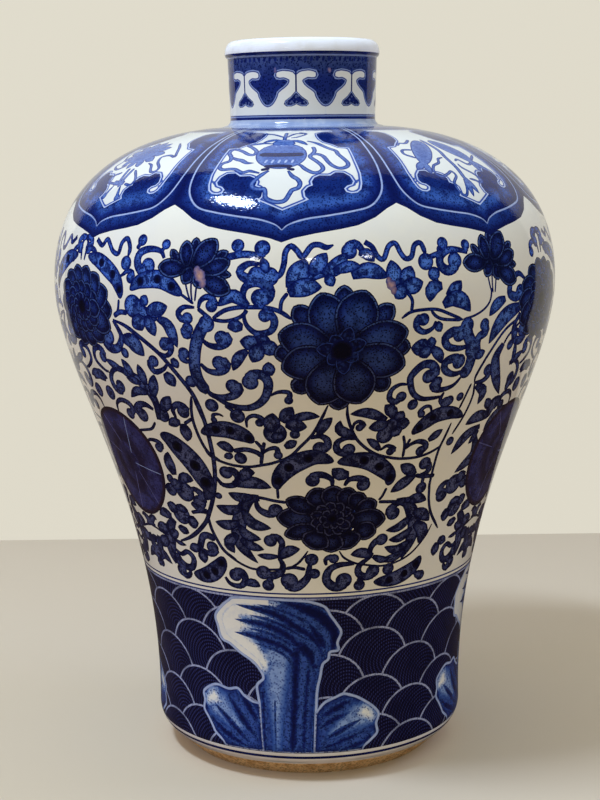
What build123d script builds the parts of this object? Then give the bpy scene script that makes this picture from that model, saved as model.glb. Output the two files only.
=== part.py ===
"""Porcelain meiping vase: thrown sections of one turned wall, luted together with slip.

The wall is a profile of curves turned about Z. It is cut level into the sections that a
potter throws, with a thin layer of slip in each seam that squeezes out inside as a bead.
The origin is the centre of the foot, on the surface the vase stands on.
"""
import os
from math import atan2, cos, sin, tan

from build123d import *

# Overall form, millimetres
widest_height = 227.6
dome_height = 72.6
neck_height = 39.8
widest_radius = 120.0
skirt_radius = 75.0
wall = 5.5

# Fullness of the curves, as shares of the span that each curve covers
flank_start_share = 0.50
flank_end_share = 0.21
flank_pinch = 2.2
shoulder_rise_share = 0.70
shoulder_run_share = 0.52
shoulder_slope = 0.06

# Neck and rolled lip
neck_radius = 34.5
neck_wall = 5.5
neck_flare = 0.9
neck_root_round = 3.6
lip_overhang = 1.3
lip_roll_height = 5.6
lip_underside = 2.4
lip_inner_run = 3.6
lip_inner_roll = 4.2

# Foot, toe and floor
toe_inset = 14.0
toe_corner_height = 13.0
toe_round = 12.0
foot_ring_width = 10.0
foot_recess_depth = 7.0
foot_recess_taper = 2.5
floor_thickness = 9.0
floor_round = 14.0

# Seams between the thrown sections
skirt_seam_height = 92.0
belly_seam_drop = 27.6
shoulder_seam_rise = 40.4
neck_seam_rise = 2.0
lute_thickness = 0.8
bead_radius = 1.6

# Heights and radii that follow from the sizes above
past_the_part = 10.0
shoulder_height = widest_height + dome_height
overall_height = shoulder_height + neck_height
floor_height = foot_recess_depth + floor_thickness
floor_top_height = floor_height + floor_round
foot_contact_radius = skirt_radius - toe_inset
toe_lean = atan2(toe_inset, toe_corner_height)
toe_tangent = toe_round * tan(toe_lean / 2)
toe_top_height = toe_corner_height + toe_tangent
mouth_radius = neck_radius - neck_wall
lip_crown_radius = mouth_radius + lip_inner_run
lip_radius = neck_radius + neck_flare + lip_overhang
lip_widest_height = overall_height - lip_roll_height
lip_base_height = lip_widest_height - lip_underside
neck_seam_height = shoulder_height + neck_seam_rise
reach = widest_radius + past_the_part


def flank(foot_radius, foot_height, side_radius):
    """Curve from the foot up to the widest level, upright at the top."""
    span = widest_height - foot_height
    return Bezier(
        (foot_radius, foot_height),
        (foot_radius - flank_pinch, foot_height + flank_start_share * span),
        (side_radius, widest_height - flank_end_share * span),
        (side_radius, widest_height),
    )


def shoulder(side_radius, root_radius, root_height):
    """Curve from the widest level over the shoulder to the root of the neck."""
    rise = shoulder_rise_share * (root_height - widest_height)
    run = shoulder_run_share * (side_radius - root_radius)
    return Bezier(
        (side_radius, widest_height),
        (side_radius, widest_height + rise),
        (root_radius + run, root_height - shoulder_slope * run),
        (root_radius, root_height),
    )


def turned(edges):
    """Solid of revolution about Z of a closed outline drawn as radius and height."""
    return revolve(Plane.XZ * make_face(edges), axis=Axis.Z)


def level_slab(low, high):
    """Wide disc between two heights, for cutting the wall level."""
    return Pos(0, 0, low) * Cylinder(reach, high - low, align=(Align.CENTER, Align.CENTER, Align.MIN))


def outer_form():
    """The vase as a closed solid, without its hollow or the recess under its base."""
    bevel_end = (
        skirt_radius - toe_tangent * sin(toe_lean),
        toe_corner_height - toe_tangent * cos(toe_lean),
    )
    toe_top = (skirt_radius, toe_top_height)
    root = (neck_radius + neck_root_round, shoulder_height)
    neck_foot = (neck_radius, shoulder_height + neck_root_round)
    neck_top = (neck_radius + neck_flare, lip_base_height)
    lip_side = (lip_radius, lip_widest_height)
    return turned([
        Line((0, 0), (foot_contact_radius, 0)),
        Line((foot_contact_radius, 0), bevel_end),
        TangentArc(toe_top, bevel_end, tangent=(0, -1)),
        flank(skirt_radius, toe_top_height, widest_radius),
        shoulder(widest_radius, root[0], root[1]),
        TangentArc(neck_foot, root, tangent=(0, -1)),
        Line(neck_foot, neck_top),
        TangentArc(lip_side, neck_top, tangent=(0, -1)),
        EllipticalCenterArc(
            (lip_crown_radius, lip_widest_height),
            lip_radius - lip_crown_radius,
            lip_roll_height,
            start_angle=0,
            arc_size=90,
        ),
        Line((lip_crown_radius, overall_height), (0, overall_height)),
        Line((0, overall_height), (0, 0)),
    ])


def inner_form():
    """The hollow of the vase, open at the mouth."""
    inner_skirt = skirt_radius - wall
    inner_widest = widest_radius - wall
    inner_shoulder = shoulder_height - wall
    root = (mouth_radius + neck_root_round, inner_shoulder)
    bore_foot = (mouth_radius, inner_shoulder + neck_root_round)
    bore_top = (mouth_radius, overall_height - lip_inner_roll)
    floor_edge = (inner_skirt - floor_round, floor_height)
    above_mouth = overall_height + past_the_part
    return turned([
        Line((0, floor_height), floor_edge),
        TangentArc((inner_skirt, floor_top_height), floor_edge, tangent=(0, -1)),
        flank(inner_skirt, floor_top_height, inner_widest),
        shoulder(inner_widest, root[0], root[1]),
        TangentArc(bore_foot, root, tangent=(0, -1)),
        Line(bore_foot, bore_top),
        EllipticalCenterArc(
            (lip_crown_radius, bore_top[1]),
            lip_inner_run,
            lip_inner_roll,
            start_angle=90,
            arc_size=90,
        ),
        Line((lip_crown_radius, overall_height), (lip_crown_radius, above_mouth)),
        Line((lip_crown_radius, above_mouth), (0, above_mouth)),
        Line((0, above_mouth), (0, floor_height)),
    ])


def foot_recess():
    """The shallow hollow under the base, inside the foot ring."""
    rim_radius = foot_contact_radius - foot_ring_width
    outline = Polyline(
        (0, -past_the_part),
        (rim_radius, -past_the_part),
        (rim_radius, 0),
        (rim_radius - foot_recess_taper, foot_recess_depth),
        (0, foot_recess_depth),
        close=True,
    )
    return turned(outline.edges())


def slip_lute(fired_wall, seam_height):
    """Layer of slip that fills one seam across the wall."""
    return fired_wall & level_slab(seam_height - lute_thickness / 2, seam_height + lute_thickness / 2)


def slip_bead(hollow, seam_height):
    """Bead of slip that squeezed out of a seam on the inside of the wall."""
    seam_slab = level_slab(seam_height - lute_thickness / 2, seam_height + lute_thickness / 2)
    inner_radius = (hollow & seam_slab).bounding_box().max.X
    return Pos(0, 0, seam_height) * Torus(inner_radius, bead_radius) & hollow


def build_pieces():
    """All the pieces of the vase by name, from the foot up."""
    hollow = inner_form()
    fired_wall = outer_form() - hollow - foot_recess()
    sections = [
        "foot_base", "skirt_section", "belly_section", "shoulder_section", "crown_section", "neck_collar",
    ]
    body_seams = {
        "foot_lute": floor_top_height,
        "skirt_lute": skirt_seam_height,
        "belly_lute": widest_height - belly_seam_drop,
        "shoulder_lute": widest_height + shoulder_seam_rise,
    }
    seams = [*body_seams.values(), neck_seam_height]
    half_lute = lute_thickness / 2
    lows = [-past_the_part] + [seam + half_lute for seam in seams]
    highs = [seam - half_lute for seam in seams] + [overall_height + past_the_part]
    pieces = {}
    for name, low, high in zip(sections, lows, highs):
        pieces[name] = fired_wall & level_slab(low, high)
    for name, seam in body_seams.items():
        pieces[name] = slip_lute(fired_wall, seam) + slip_bead(hollow, seam)
    # The potter reaches the neck seam through the mouth and wipes it flush with the bore
    pieces["neck_lute"] = slip_lute(fired_wall, neck_seam_height)
    return pieces


os.makedirs("parts", exist_ok=True)
for piece_name, piece in build_pieces().items():
    export_step(piece, f"parts/{piece_name}.step")
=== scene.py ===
"""Blue-and-white porcelain vase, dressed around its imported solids.

Each thrown section of the wall is one piece: a painted skin, a lining and the rims that
close it. The skin is cut along the outlines of the painting, so each brush stroke is a
set of faces of its own that knows how far it is from the edge of the stroke.
Lengths are millimetres on the wall and degrees about the axis until a mesh is made.
"""
import logging
import math
from collections.abc import Sequence
from dataclasses import dataclass, field
from enum import Enum

import bmesh
import bpy
import numpy as np
from mathutils import Matrix, Vector
from mathutils.geometry import delaunay_2d_cdt


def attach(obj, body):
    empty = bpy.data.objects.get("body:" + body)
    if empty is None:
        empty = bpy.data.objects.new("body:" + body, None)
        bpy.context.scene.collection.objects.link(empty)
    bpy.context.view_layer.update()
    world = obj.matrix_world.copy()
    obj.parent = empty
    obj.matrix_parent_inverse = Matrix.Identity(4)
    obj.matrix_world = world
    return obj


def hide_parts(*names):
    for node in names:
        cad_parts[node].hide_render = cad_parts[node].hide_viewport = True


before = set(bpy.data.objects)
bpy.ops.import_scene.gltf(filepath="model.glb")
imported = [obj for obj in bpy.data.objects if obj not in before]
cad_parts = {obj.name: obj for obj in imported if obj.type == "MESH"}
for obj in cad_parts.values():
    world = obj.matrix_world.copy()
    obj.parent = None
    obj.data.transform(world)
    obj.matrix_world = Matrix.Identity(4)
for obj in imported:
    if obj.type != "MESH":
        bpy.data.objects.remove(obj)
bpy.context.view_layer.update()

log = logging.getLogger("vase")

Point = tuple[float, float]
Triple = tuple[float, float, float]
Outline = tuple[Point, ...]
Petal = tuple[float, Point, Point]
Tree = bpy.types.NodeTree
Socket = bpy.types.NodeSocket
MM = 0.001
DEGREE = math.pi / 180


# Colour and nodes

def linear(hex_colour: str) -> tuple[float, float, float, float]:
    """Turns an sRGB hex colour into linear light.

    Args:
        hex_colour: six hex digits.

    Returns:
        Linear red, green, blue and an alpha of one.
    """
    shares = [int(hex_colour[i:i + 2], 16) / 255 for i in (0, 2, 4)]
    light = [c / 12.92 if c <= 0.04045 else ((c + 0.055) / 1.055) ** 2.4 for c in shares]
    return light[0], light[1], light[2], 1.0


def add_node(tree: Tree, kind: str, inputs: dict | None = None, **settings: object) -> bpy.types.Node:
    """Adds one node with its settings and links.

    Args:
        tree: the node tree of a material or a world.
        kind: the node's type name.
        inputs: socket name or number to a value, or to the output that feeds it.
        settings: the node's own properties.

    Returns:
        The new node.
    """
    node = tree.nodes.new(kind)
    for name, value in settings.items():
        setattr(node, name, value)
    for socket, value in (inputs or {}).items():
        if isinstance(value, bpy.types.NodeSocket):
            tree.links.new(value, node.inputs[socket])
        else:
            node.inputs[socket].default_value = value
    return node


def calc(tree: Tree, operation: str, *values: object, clamp: bool = False) -> Socket:
    """Adds one sum.

    Args:
        tree: the node tree.
        operation: the sum's type name.
        values: numbers, or the outputs that give them.
        clamp: whether the result stays between zero and one.

    Returns:
        The output with the result.
    """
    sums = add_node(tree, "ShaderNodeMath", dict(enumerate(values)), operation=operation, use_clamp=clamp)
    return sums.outputs[0]


def fade(tree: Tree, value: Socket, span: Point, ends: Point = (0.0, 1.0), smooth: bool = True) -> Socket:
    """Adds a change from one level to another over a span of a value.

    Args:
        tree: the node tree.
        value: output that gives the value.
        span: values at which the change starts and ends.
        ends: levels before and after it.
        smooth: whether it starts and ends gently.

    Returns:
        The output with the level.
    """
    change = add_node(
        tree, "ShaderNodeMapRange",
        {"Value": value, "From Min": span[0], "From Max": span[1], "To Min": ends[0], "To Max": ends[1]},
        interpolation_type="SMOOTHSTEP" if smooth else "LINEAR",
    )
    return change.outputs["Result"]


def noise(tree: Tree, place: Socket, size: float, detail: float, rough: float = 0.5) -> Socket:
    """Adds a cloudy pattern.

    Args:
        tree: the node tree.
        place: output that gives the place in metres.
        size: size of its patches in millimetres.
        detail: number of finer patterns in it.
        rough: strength of the finer patterns.

    Returns:
        The output with its level.
    """
    settings = {"Vector": place, "Scale": 1 / (size * MM), "Detail": detail, "Roughness": rough}
    return add_node(tree, "ShaderNodeTexNoise", settings).outputs["Fac"]


def blend(tree: Tree, share: Socket, low: object, high: object, kind: str = "MIX") -> Socket:
    """Mixes two colours by a share.

    Args:
        tree: the node tree.
        share: output that gives the share of the second colour.
        low: first colour or the output that gives it.
        high: second colour or the output that gives it.
        kind: the way they mix.

    Returns:
        The output with the mixed colour.
    """
    mix = add_node(tree, "ShaderNodeMix", {0: share, 6: low, 7: high}, data_type="RGBA", blend_type=kind)
    return mix.outputs[2]


class Finish(Enum):
    """The finishes that a face of the wall can have."""

    WHITE = "clear_glaze_on_white_porcelain"
    LEAF = "cobalt_wash_leaves"
    PETAL = "cobalt_wash_petals"
    CORE = "cobalt_flower_cores"
    DISC = "cobalt_dark_disc"
    RAY = "scratched_ray"
    SPOT = "cobalt_heaped_spots"
    BORDER = "cobalt_lappet_border"
    GROUND = "cobalt_lappet_ground"
    PANEL = "white_panel_with_blue_edge"
    EMBLEM = "cobalt_wash_emblems"
    PALE = "reserved_pale_line"
    WAVE = "cobalt_wave_scales"
    ROCK = "cobalt_rock_wash"
    ROCK_LIGHT = "reserved_rock_light"
    ROCK_HALF = "cobalt_rock_halftone"
    ROCK_GLARE = "bare_glaze_on_rock"
    ROCK_SHADE = "cobalt_rock_shade"
    COLLAR = "cobalt_grey_neck_wash"
    PENDANT = "cobalt_neck_pendants"
    LINE = "cobalt_drawn_line"
    POOL = "pale_blue_pooled_glaze"
    BURN = "iron_burn_in_glaze"
    RESERVE = "white_reserve_with_blue_edge"
    WORN = "dark_worn_edge"
    CREAM = "cream_dressed_lip"
    BISCUIT = "unglazed_biscuit_foot"
    LINING = "clear_glaze_lining"


@dataclass(frozen=True)
class Glaze:
    """How one painted finish looks under the clear glaze.

    The stops give the tone by distance from the edge of the brush stroke. Cobalt pools in
    patches and heaps into dark dots, which the pool and heap values give. Low on the body a
    warm dark tint is multiplied in: painted shade with painted warm bounce from the floor.
    """

    stops: tuple[tuple[float, str], ...]
    pool: str = "16267c"
    pool_share: float = 0.0
    pool_size: float = 5.0
    pool_low: float = 0.42
    pool_high: float = 0.66
    heap: str = "0b1448"
    heap_share: float = 0.0
    heap_spacing: float = 1.5
    heap_reach: float = 0.0
    ragged: float = 0.18
    rough: float = 0.06
    base_tone: str = ""
    tip_tone: str = ""
    end_share: float = 0.9
    tip_inset: float = 1.0
    # Painted shade: warm dark multiplier of the colour low on the body, empty for none
    painted_low_shade: tuple[float, ...] = ()
    grain: float = 0.0
    waves: bool = False


GLAZES: dict[Finish, Glaze] = {
    # Warm white body seen through clear glaze, cooler where the glaze lies thicker
    Finish.WHITE: Glaze(((0.0, "e9e7dd"),), pool="e2e2df", pool_share=0.5, pool_size=26.0),
    # Dark outline round a mid-blue wash with pooled patches and fine dark specks, and painted warm shade low
    # on the body
    Finish.LEAF: Glaze(
        ((0.0, "08165a"), (0.4, "0c1e66"), (0.8, "2c4cac"), (1.7, "466ec8"), (3.5, "507ad2")),
        pool="07145a", pool_share=0.88, pool_size=2.7, pool_low=0.47, pool_high=0.58, heap="030b40",
        heap_share=0.46, heap_spacing=0.9, grain=0.8, painted_low_shade=(1.05, 0.5, 0.33), base_tone="0a1a60",
        tip_tone="071250", end_share=0.7, tip_inset=0.4,
    ),
    # Dark edge, a pale reserved line inside it, then a wash that lightens to the middle, and painted warm
    # shade low on the body
    Finish.PETAL: Glaze(
        ((0.0, "070d3a"), (0.45, "091244"), (0.65, "3f5896"), (1.0, "3b5392"), (1.2, "091142"),
         (2.4, "101c5a"), (3.8, "203782"), (6.0, "2c4790")),
        pool="070d38", pool_share=0.55, pool_size=4.5, heap="030620", heap_share=0.46, heap_spacing=0.95,
        ragged=0.1, base_tone="060c34", tip_tone="070e38", grain=0.35, painted_low_shade=(1.05, 0.58, 0.42),
    ),
    # Nearly black blue of cobalt laid several times over
    Finish.CORE: Glaze(
        ((0.0, "050a2c"), (0.4, "080f3a"), (0.5, "2c418a"), (0.7, "273b82"), (0.85, "070d36"),
         (2.5, "0a1244")),
        pool="04071f", pool_share=0.7, pool_size=2.5, heap="2f4690", heap_share=0.14, heap_spacing=1.6,
        ragged=0.08,
    ),
    # Brown-violet of cobalt that fired too thick
    Finish.DISC: Glaze(
        ((0.0, "1c1018"), (1.6, "2c1c28"), (3.0, "33336a"), (9.0, "393b72"), (13.0, "241e40"),
         (16.0, "1e1836"), (18.5, "33346a"), (24.0, "1a1430")),
        pool="1b1434", pool_share=0.75, pool_size=6.0, heap="161334", heap_share=0.3, heap_spacing=1.2,
    ),
    # Faint scratch in the dark disc
    Finish.RAY: Glaze(((0.0, "55578c"), (0.2, "6c6ea2")), pool="33336a", pool_share=0.6, pool_size=6.0),
    # Soft black-blue dab that soaks into the wash round it, with painted warm shade low on the body
    Finish.SPOT: Glaze(
        ((0.0, "0b1754"), (0.6, "080e3a"), (1.6, "05081f")),
        ragged=0.9, painted_low_shade=(1.0, 0.54, 0.39),
    ),
    # Deep blue band, speckled
    Finish.BORDER: Glaze(
        ((0.0, "08134c"), (1.3, "0a1654"), (3.0, "162e78"), (6.0, "1f3d88")),
        pool="0b1858", pool_share=0.65, pool_size=4.0, heap="071042", heap_share=0.45, heap_spacing=0.95,
        grain=1.8,
    ),
    # Uneven blue wash inside the border, lightest half-way in
    Finish.GROUND: Glaze(
        ((0.0, "08134c"), (1.1, "0b185a"), (3.0, "173180"), (5.0, "3558a8"), (7.0, "3358a8"),
         (12.0, "11286e")),
        pool="0a1858", pool_share=0.85, pool_size=5.5, heap="071246", heap_share=0.45, heap_spacing=0.95,
        grain=1.8,
    ),
    # White field with a fine blue line inside its edge
    Finish.PANEL: Glaze(
        ((0.0, "a9b8dd"), (0.5, "b9c5e4"), (0.62, "2b459b"), (1.15, "3a559f"), (1.35, "d8dad9"),
         (2.5, "dfe0dc")),
        ragged=0.06,
    ),
    # Thin pale-blue wash with a darker drawn edge
    Finish.EMBLEM: Glaze(
        ((0.0, "1b3078"), (0.4, "213a86"), (0.65, "5470b4"), (1.1, "5f7bbc"), (3.0, "4a68ae")),
        pool="2c4a98", pool_share=0.6, pool_size=2.6, heap="1a2f78", heap_share=0.25, heap_spacing=1.2,
        ragged=0.08,
    ),
    # Line left bare, tinted by the cobalt on both sides
    Finish.PALE: Glaze(((0.0, "7488c0"), (0.35, "aab8dc")), pool="7f94c8", pool_share=0.5),
    # Pale rim of each scale, then black-blue with lighter dotted rows
    Finish.WAVE: Glaze(
        ((0.0, "a0a8cc"), (0.8, "a6aed0"), (1.0, "0d0e34"), (2.0, "0e0d2b")),
        pool="0b0c2a", pool_share=0.5, pool_size=14.0, ragged=0.12, waves=True,
    ),
    # Blue wash with a pale rim and dark specks
    Finish.ROCK: Glaze(
        ((0.0, "a9b3d6"), (0.42, "9ba8d2"), (0.6, "121e5c"), (1.6, "20367e"), (5.0, "3753a0")),
        pool="111d54", pool_share=0.6, pool_size=3.0, heap="0d1748", heap_share=0.4, heap_spacing=1.2,
    ),
    # Thinner wash that fades into the light side of the rock
    Finish.ROCK_HALF: Glaze(
        ((0.0, "20367c"), (0.9, "30509a"), (2.2, "5876b6"), (3.6, "86a0d2")),
        pool="3f5fa6", pool_share=0.6, pool_size=4.0, heap="1c3078", heap_share=0.35, heap_spacing=1.2,
        ragged=1.0,
    ),
    # Bare white that is stippled blue towards its edge
    Finish.ROCK_LIGHT: Glaze(
        ((0.0, "4565ab"), (0.8, "6f8dc6"), (2.0, "b9c7e2"), (3.2, "ebebe6")),
        pool="c3cee2", pool_share=0.3, pool_size=5.0, heap="1c3078", heap_share=0.5, heap_spacing=1.1,
        heap_reach=3.4, ragged=1.5,
    ),
    # Bare glaze along the edge of the rock
    Finish.ROCK_GLARE: Glaze(
        ((0.0, "c3cde2"), (0.5, "e6e6e2")),
        pool="d5dae4", pool_share=0.5, ragged=0.8,
    ),
    # Dark dry-brushed fold
    Finish.ROCK_SHADE: Glaze(
        ((0.0, "3a58a0"), (0.5, "29458e"), (1.1, "152368"), (2.2, "0b1242")),
        pool="080d30", pool_share=0.6, pool_size=2.4, heap="0a1240", heap_share=0.45, heap_spacing=1.0,
        ragged=1.1,
    ),
    # Greyish wash on the neck, stippled
    Finish.COLLAR: Glaze(
        ((0.0, "3d4c80"), (1.2, "46568a"), (6.0, "33447e"), (12.0, "1a2a72"), (18.0, "1a2a72")),
        pool="15245e", pool_share=0.7, pool_size=2.4, heap="0c1648", heap_share=0.5, heap_spacing=1.05,
    ),
    # Dark heart with a pale line inside its edge
    Finish.PENDANT: Glaze(
        ((0.0, "16245f"), (0.25, "1a2a72"), (0.36, "8f9fcc"), (0.6, "8496c6"), (0.72, "0e1850"),
         (2.2, "15246e")),
        pool="0c1548", pool_share=0.5, pool_size=2.6, heap="7d8fc4", heap_share=0.2, heap_spacing=1.3,
        ragged=0.04,
    ),
    # White figure with a fine blue line inside its edge
    Finish.RESERVE: Glaze(
        ((0.0, "7d8fc0"), (0.42, "8798c8"), (0.52, "1a2870"), (0.85, "22337c"), (1.0, "d9dde4"),
         (1.4, "e6e6e1")),
        ragged=0.06,
    ),
    # Plain drawn line
    Finish.LINE: Glaze(((0.0, "16246c"), (0.5, "0d174e")), pool="22358a", pool_share=0.4, pool_size=7.0),
    # Clear glaze that gathers pale blue at the root of the neck
    Finish.POOL: Glaze(((0.0, "a3afcb"), (2.0, "8a9cc4")), pool="b4bfd4", pool_share=0.6, pool_size=8.0),
    # Pink-brown spot of iron that burnt through the glaze
    Finish.BURN: Glaze(
        ((0.0, "2c3a80"), (0.5, "6a6490"), (1.3, "a58893"), (2.4, "c69d84")),
        pool="7c5a66", pool_share=0.5, pool_size=2.0, ragged=0.9,
    ),
    # Dark line where the glaze has worn off the lip
    Finish.WORN: Glaze(
        ((0.0, "6a6458"), (0.3, "2f2c2a")),
        pool="d8d2be", pool_share=0.7, pool_size=1.6, ragged=0.7,
    ),
    # Thicker, softer white on the lip and above the foot
    Finish.CREAM: Glaze(((0.0, "eef1fa"),), pool="e4e4e6", pool_share=0.6, pool_size=9.0, rough=0.13),
    # Bare sandy clay, dry to the eye
    Finish.BISCUIT: Glaze(
        ((0.0, "efcf9e"),),
        pool="c49a64", pool_share=0.8, pool_size=5.0, heap="6d5436", heap_share=0.3, heap_spacing=1.4,
        rough=0.62,
    ),
    # Glaze inside, a little greyer than outside
    Finish.LINING: Glaze(((0.0, "dcd9cd"),), pool="cfcfca", pool_share=0.5, pool_size=20.0),
}


@dataclass
class GlazeShop:
    """Makes the material of each finish once. Sizes are millimetres, and the span of the painted low shade
    is metres.
    """

    wander_size: float = 1.6
    # Heights in metres over which the painted warm low shade fades out
    painted_low_shade_span: Point = (0.17, 0.235)
    peel_size: float = 6.0
    grain_size: float = 1.1
    peel_strength: float = 0.07
    peel_depth: float = 0.4
    start_span: Point = (0.1, 0.42)
    tip_span: Point = (0.58, 0.86)
    heap_span: Point = (0.24, 0.48)
    row_spacing: float = 1.7
    dot_spacing: float = 1.3
    row_centre_drop: float = 9.0
    row_colour: str = "39407e"
    made: dict[Finish, bpy.types.Material] = field(default_factory=dict)

    def get(self, finish: Finish) -> bpy.types.Material:
        """Gives the material of a finish.

        Args:
            finish: the finish wanted.

        Returns:
            The material, made on first use.
        """
        if finish not in self.made:
            self.made[finish] = self._mix(finish)
        return self.made[finish]

    def _mix(self, finish: Finish) -> bpy.types.Material:
        """Builds the nodes of one finish.

        Args:
            finish: the finish to build.

        Returns:
            The new material.
        """
        glaze = GLAZES[finish]
        material = bpy.data.materials.new(finish.value)
        material.use_nodes = True
        tree = material.node_tree
        tree.nodes.clear()
        place = add_node(tree, "ShaderNodeTexCoord").outputs["Object"]
        paint = add_node(tree, "ShaderNodeAttribute", attribute_name="paint", attribute_type="GEOMETRY")
        parts = add_node(tree, "ShaderNodeSeparateXYZ", {0: paint.outputs["Vector"]})
        wander = calc(tree, "SUBTRACT", noise(tree, place, self.wander_size, 2.0), 0.5)
        edge = calc(tree, "MULTIPLY_ADD", wander, 2 * glaze.ragged, parts.outputs["X"])
        colour = self._edge_tone(tree, glaze, edge)
        if glaze.waves:
            colour = self._wave_rows(tree, parts, colour)
        if glaze.base_tone:
            colour = self._dark_ends(tree, glaze, parts.outputs["Y"], edge, colour)
        patches = noise(tree, place, glaze.pool_size, 3.0, 0.6)
        pooled = fade(tree, patches, (glaze.pool_low, glaze.pool_high), (0.0, glaze.pool_share))
        colour = blend(tree, pooled, colour, linear(glaze.pool))
        if glaze.heap_share:
            colour = self._heaps(tree, glaze, place, parts.outputs["X"], colour)
        # Painted shade: the colour is multiplied by a warm dark tint low on the body, which fades out over
        # the span
        if glaze.painted_low_shade:
            level = add_node(tree, "ShaderNodeSeparateXYZ", {0: place}).outputs["Z"]
            low = fade(tree, level, self.painted_low_shade_span, (1.0, 0.0))
            colour = blend(tree, low, colour, (*glaze.painted_low_shade, 1.0), "MULTIPLY")
        peel = noise(tree, place, self.peel_size, 1.0)
        height = calc(tree, "MULTIPLY_ADD", noise(tree, place, self.grain_size, 1.0), glaze.grain, peel)
        bump = add_node(
            tree, "ShaderNodeBump",
            {"Height": height, "Strength": self.peel_strength, "Distance": self.peel_depth * MM},
        )
        shader = add_node(
            tree, "ShaderNodeBsdfPrincipled",
            {"Base Color": colour, "Roughness": glaze.rough, "IOR": 1.5, "Normal": bump.outputs["Normal"]},
        )
        add_node(tree, "ShaderNodeOutputMaterial", {"Surface": shader.outputs["BSDF"]})
        return material

    @staticmethod
    def _edge_tone(tree: Tree, glaze: Glaze, edge: Socket) -> Socket:
        """Adds the tone by distance from the edge of the stroke.

        Args:
            tree: the material's node tree.
            glaze: the glaze whose stops are used.
            edge: output that gives the distance in millimetres.

        Returns:
            The output with the tone.
        """
        depth = max(stop[0] for stop in glaze.stops) or 1.0
        tone = add_node(tree, "ShaderNodeValToRGB", {"Fac": calc(tree, "DIVIDE", edge, depth, clamp=True)})
        steps = tone.color_ramp.elements
        while len(steps) > 1:
            steps.remove(steps[-1])
        first, *others = glaze.stops
        steps[0].position = first[0] / depth
        steps[0].color = linear(first[1])
        for distance, shade in others:
            steps.new(distance / depth).color = linear(shade)
        return tone.outputs["Color"]

    def _dark_ends(self, tree: Tree, glaze: Glaze, along: Socket, edge: Socket, colour: Socket) -> Socket:
        """Darkens the start and the tip of each stroke.

        Args:
            tree: the material's node tree.
            glaze: the glaze whose end tones are used.
            along: output that gives the share of the stroke's length.
            edge: output that gives the distance from its edge.
            colour: output with the colour so far.

        Returns:
            The output with the darkened colour.
        """
        start = fade(tree, along, self.start_span, (glaze.end_share, 0.0))
        colour = blend(tree, start, colour, linear(glaze.base_tone))
        tip = fade(tree, along, self.tip_span, (0.0, 0.83 * glaze.end_share))
        inward = fade(tree, edge, (glaze.tip_inset, glaze.tip_inset + 0.3), smooth=False)
        return blend(tree, calc(tree, "MULTIPLY", tip, inward), colour, linear(glaze.tip_tone))

    def _heaps(self, tree: Tree, glaze: Glaze, place: Socket, depth: Socket, colour: Socket) -> Socket:
        """Adds the dots where the cobalt heaped up.

        Args:
            tree: the material's node tree.
            glaze: the glaze whose heaps are used.
            place: output that gives the place in metres.
            depth: output that gives the distance from the edge of the stroke.
            colour: output with the colour so far.

        Returns:
            The output with the dotted colour.
        """
        spacing = 1 / (glaze.heap_spacing * MM)
        dots = add_node(tree, "ShaderNodeTexVoronoi", {"Vector": place, "Scale": spacing})
        heaped = fade(tree, dots.outputs["Distance"], self.heap_span, (2 * glaze.heap_share, 0.0))
        held = calc(tree, "MINIMUM", heaped, 1.0)
        if glaze.heap_reach:
            near = fade(tree, depth, (0.4 * glaze.heap_reach, glaze.heap_reach), (1.0, 0.0), smooth=False)
            held = calc(tree, "MULTIPLY", held, near)
        return blend(tree, held, colour, linear(glaze.heap))

    def _wave_rows(self, tree: Tree, parts: bpy.types.Node, ground: Socket) -> Socket:
        """Adds the dotted rows that run inside each wave scale.

        Args:
            tree: the material's node tree.
            parts: node whose Y and Z are the place in the scale, in millimetres from its centre.
            ground: output with the colour of the scale.

        Returns:
            The output with the dotted colour.
        """
        across = parts.outputs["Y"]
        lower = calc(tree, "ADD", parts.outputs["Z"], self.row_centre_drop)
        away = add_node(tree, "ShaderNodeCombineXYZ", {0: across, 1: lower})
        size = add_node(tree, "ShaderNodeVectorMath", {0: away.outputs[0]}, operation="LENGTH")
        reach = size.outputs["Value"]
        along = calc(tree, "MULTIPLY", calc(tree, "ARCTAN2", lower, across), reach)
        row_wave = calc(tree, "SINE", calc(tree, "MULTIPLY", reach, 2 * math.pi / self.row_spacing))
        dot_wave = calc(tree, "SINE", calc(tree, "MULTIPLY", along, 2 * math.pi / self.dot_spacing))
        lit = fade(tree, calc(tree, "MULTIPLY_ADD", dot_wave, 0.9, row_wave), (0.45, 1.5), (0.0, 0.75))
        inner = fade(tree, reach, (1.0, 4.0), (0.0, 0.9), smooth=False)
        return blend(tree, calc(tree, "MULTIPLY", lit, inner), ground, linear(self.row_colour))


# The form of the wall

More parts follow.
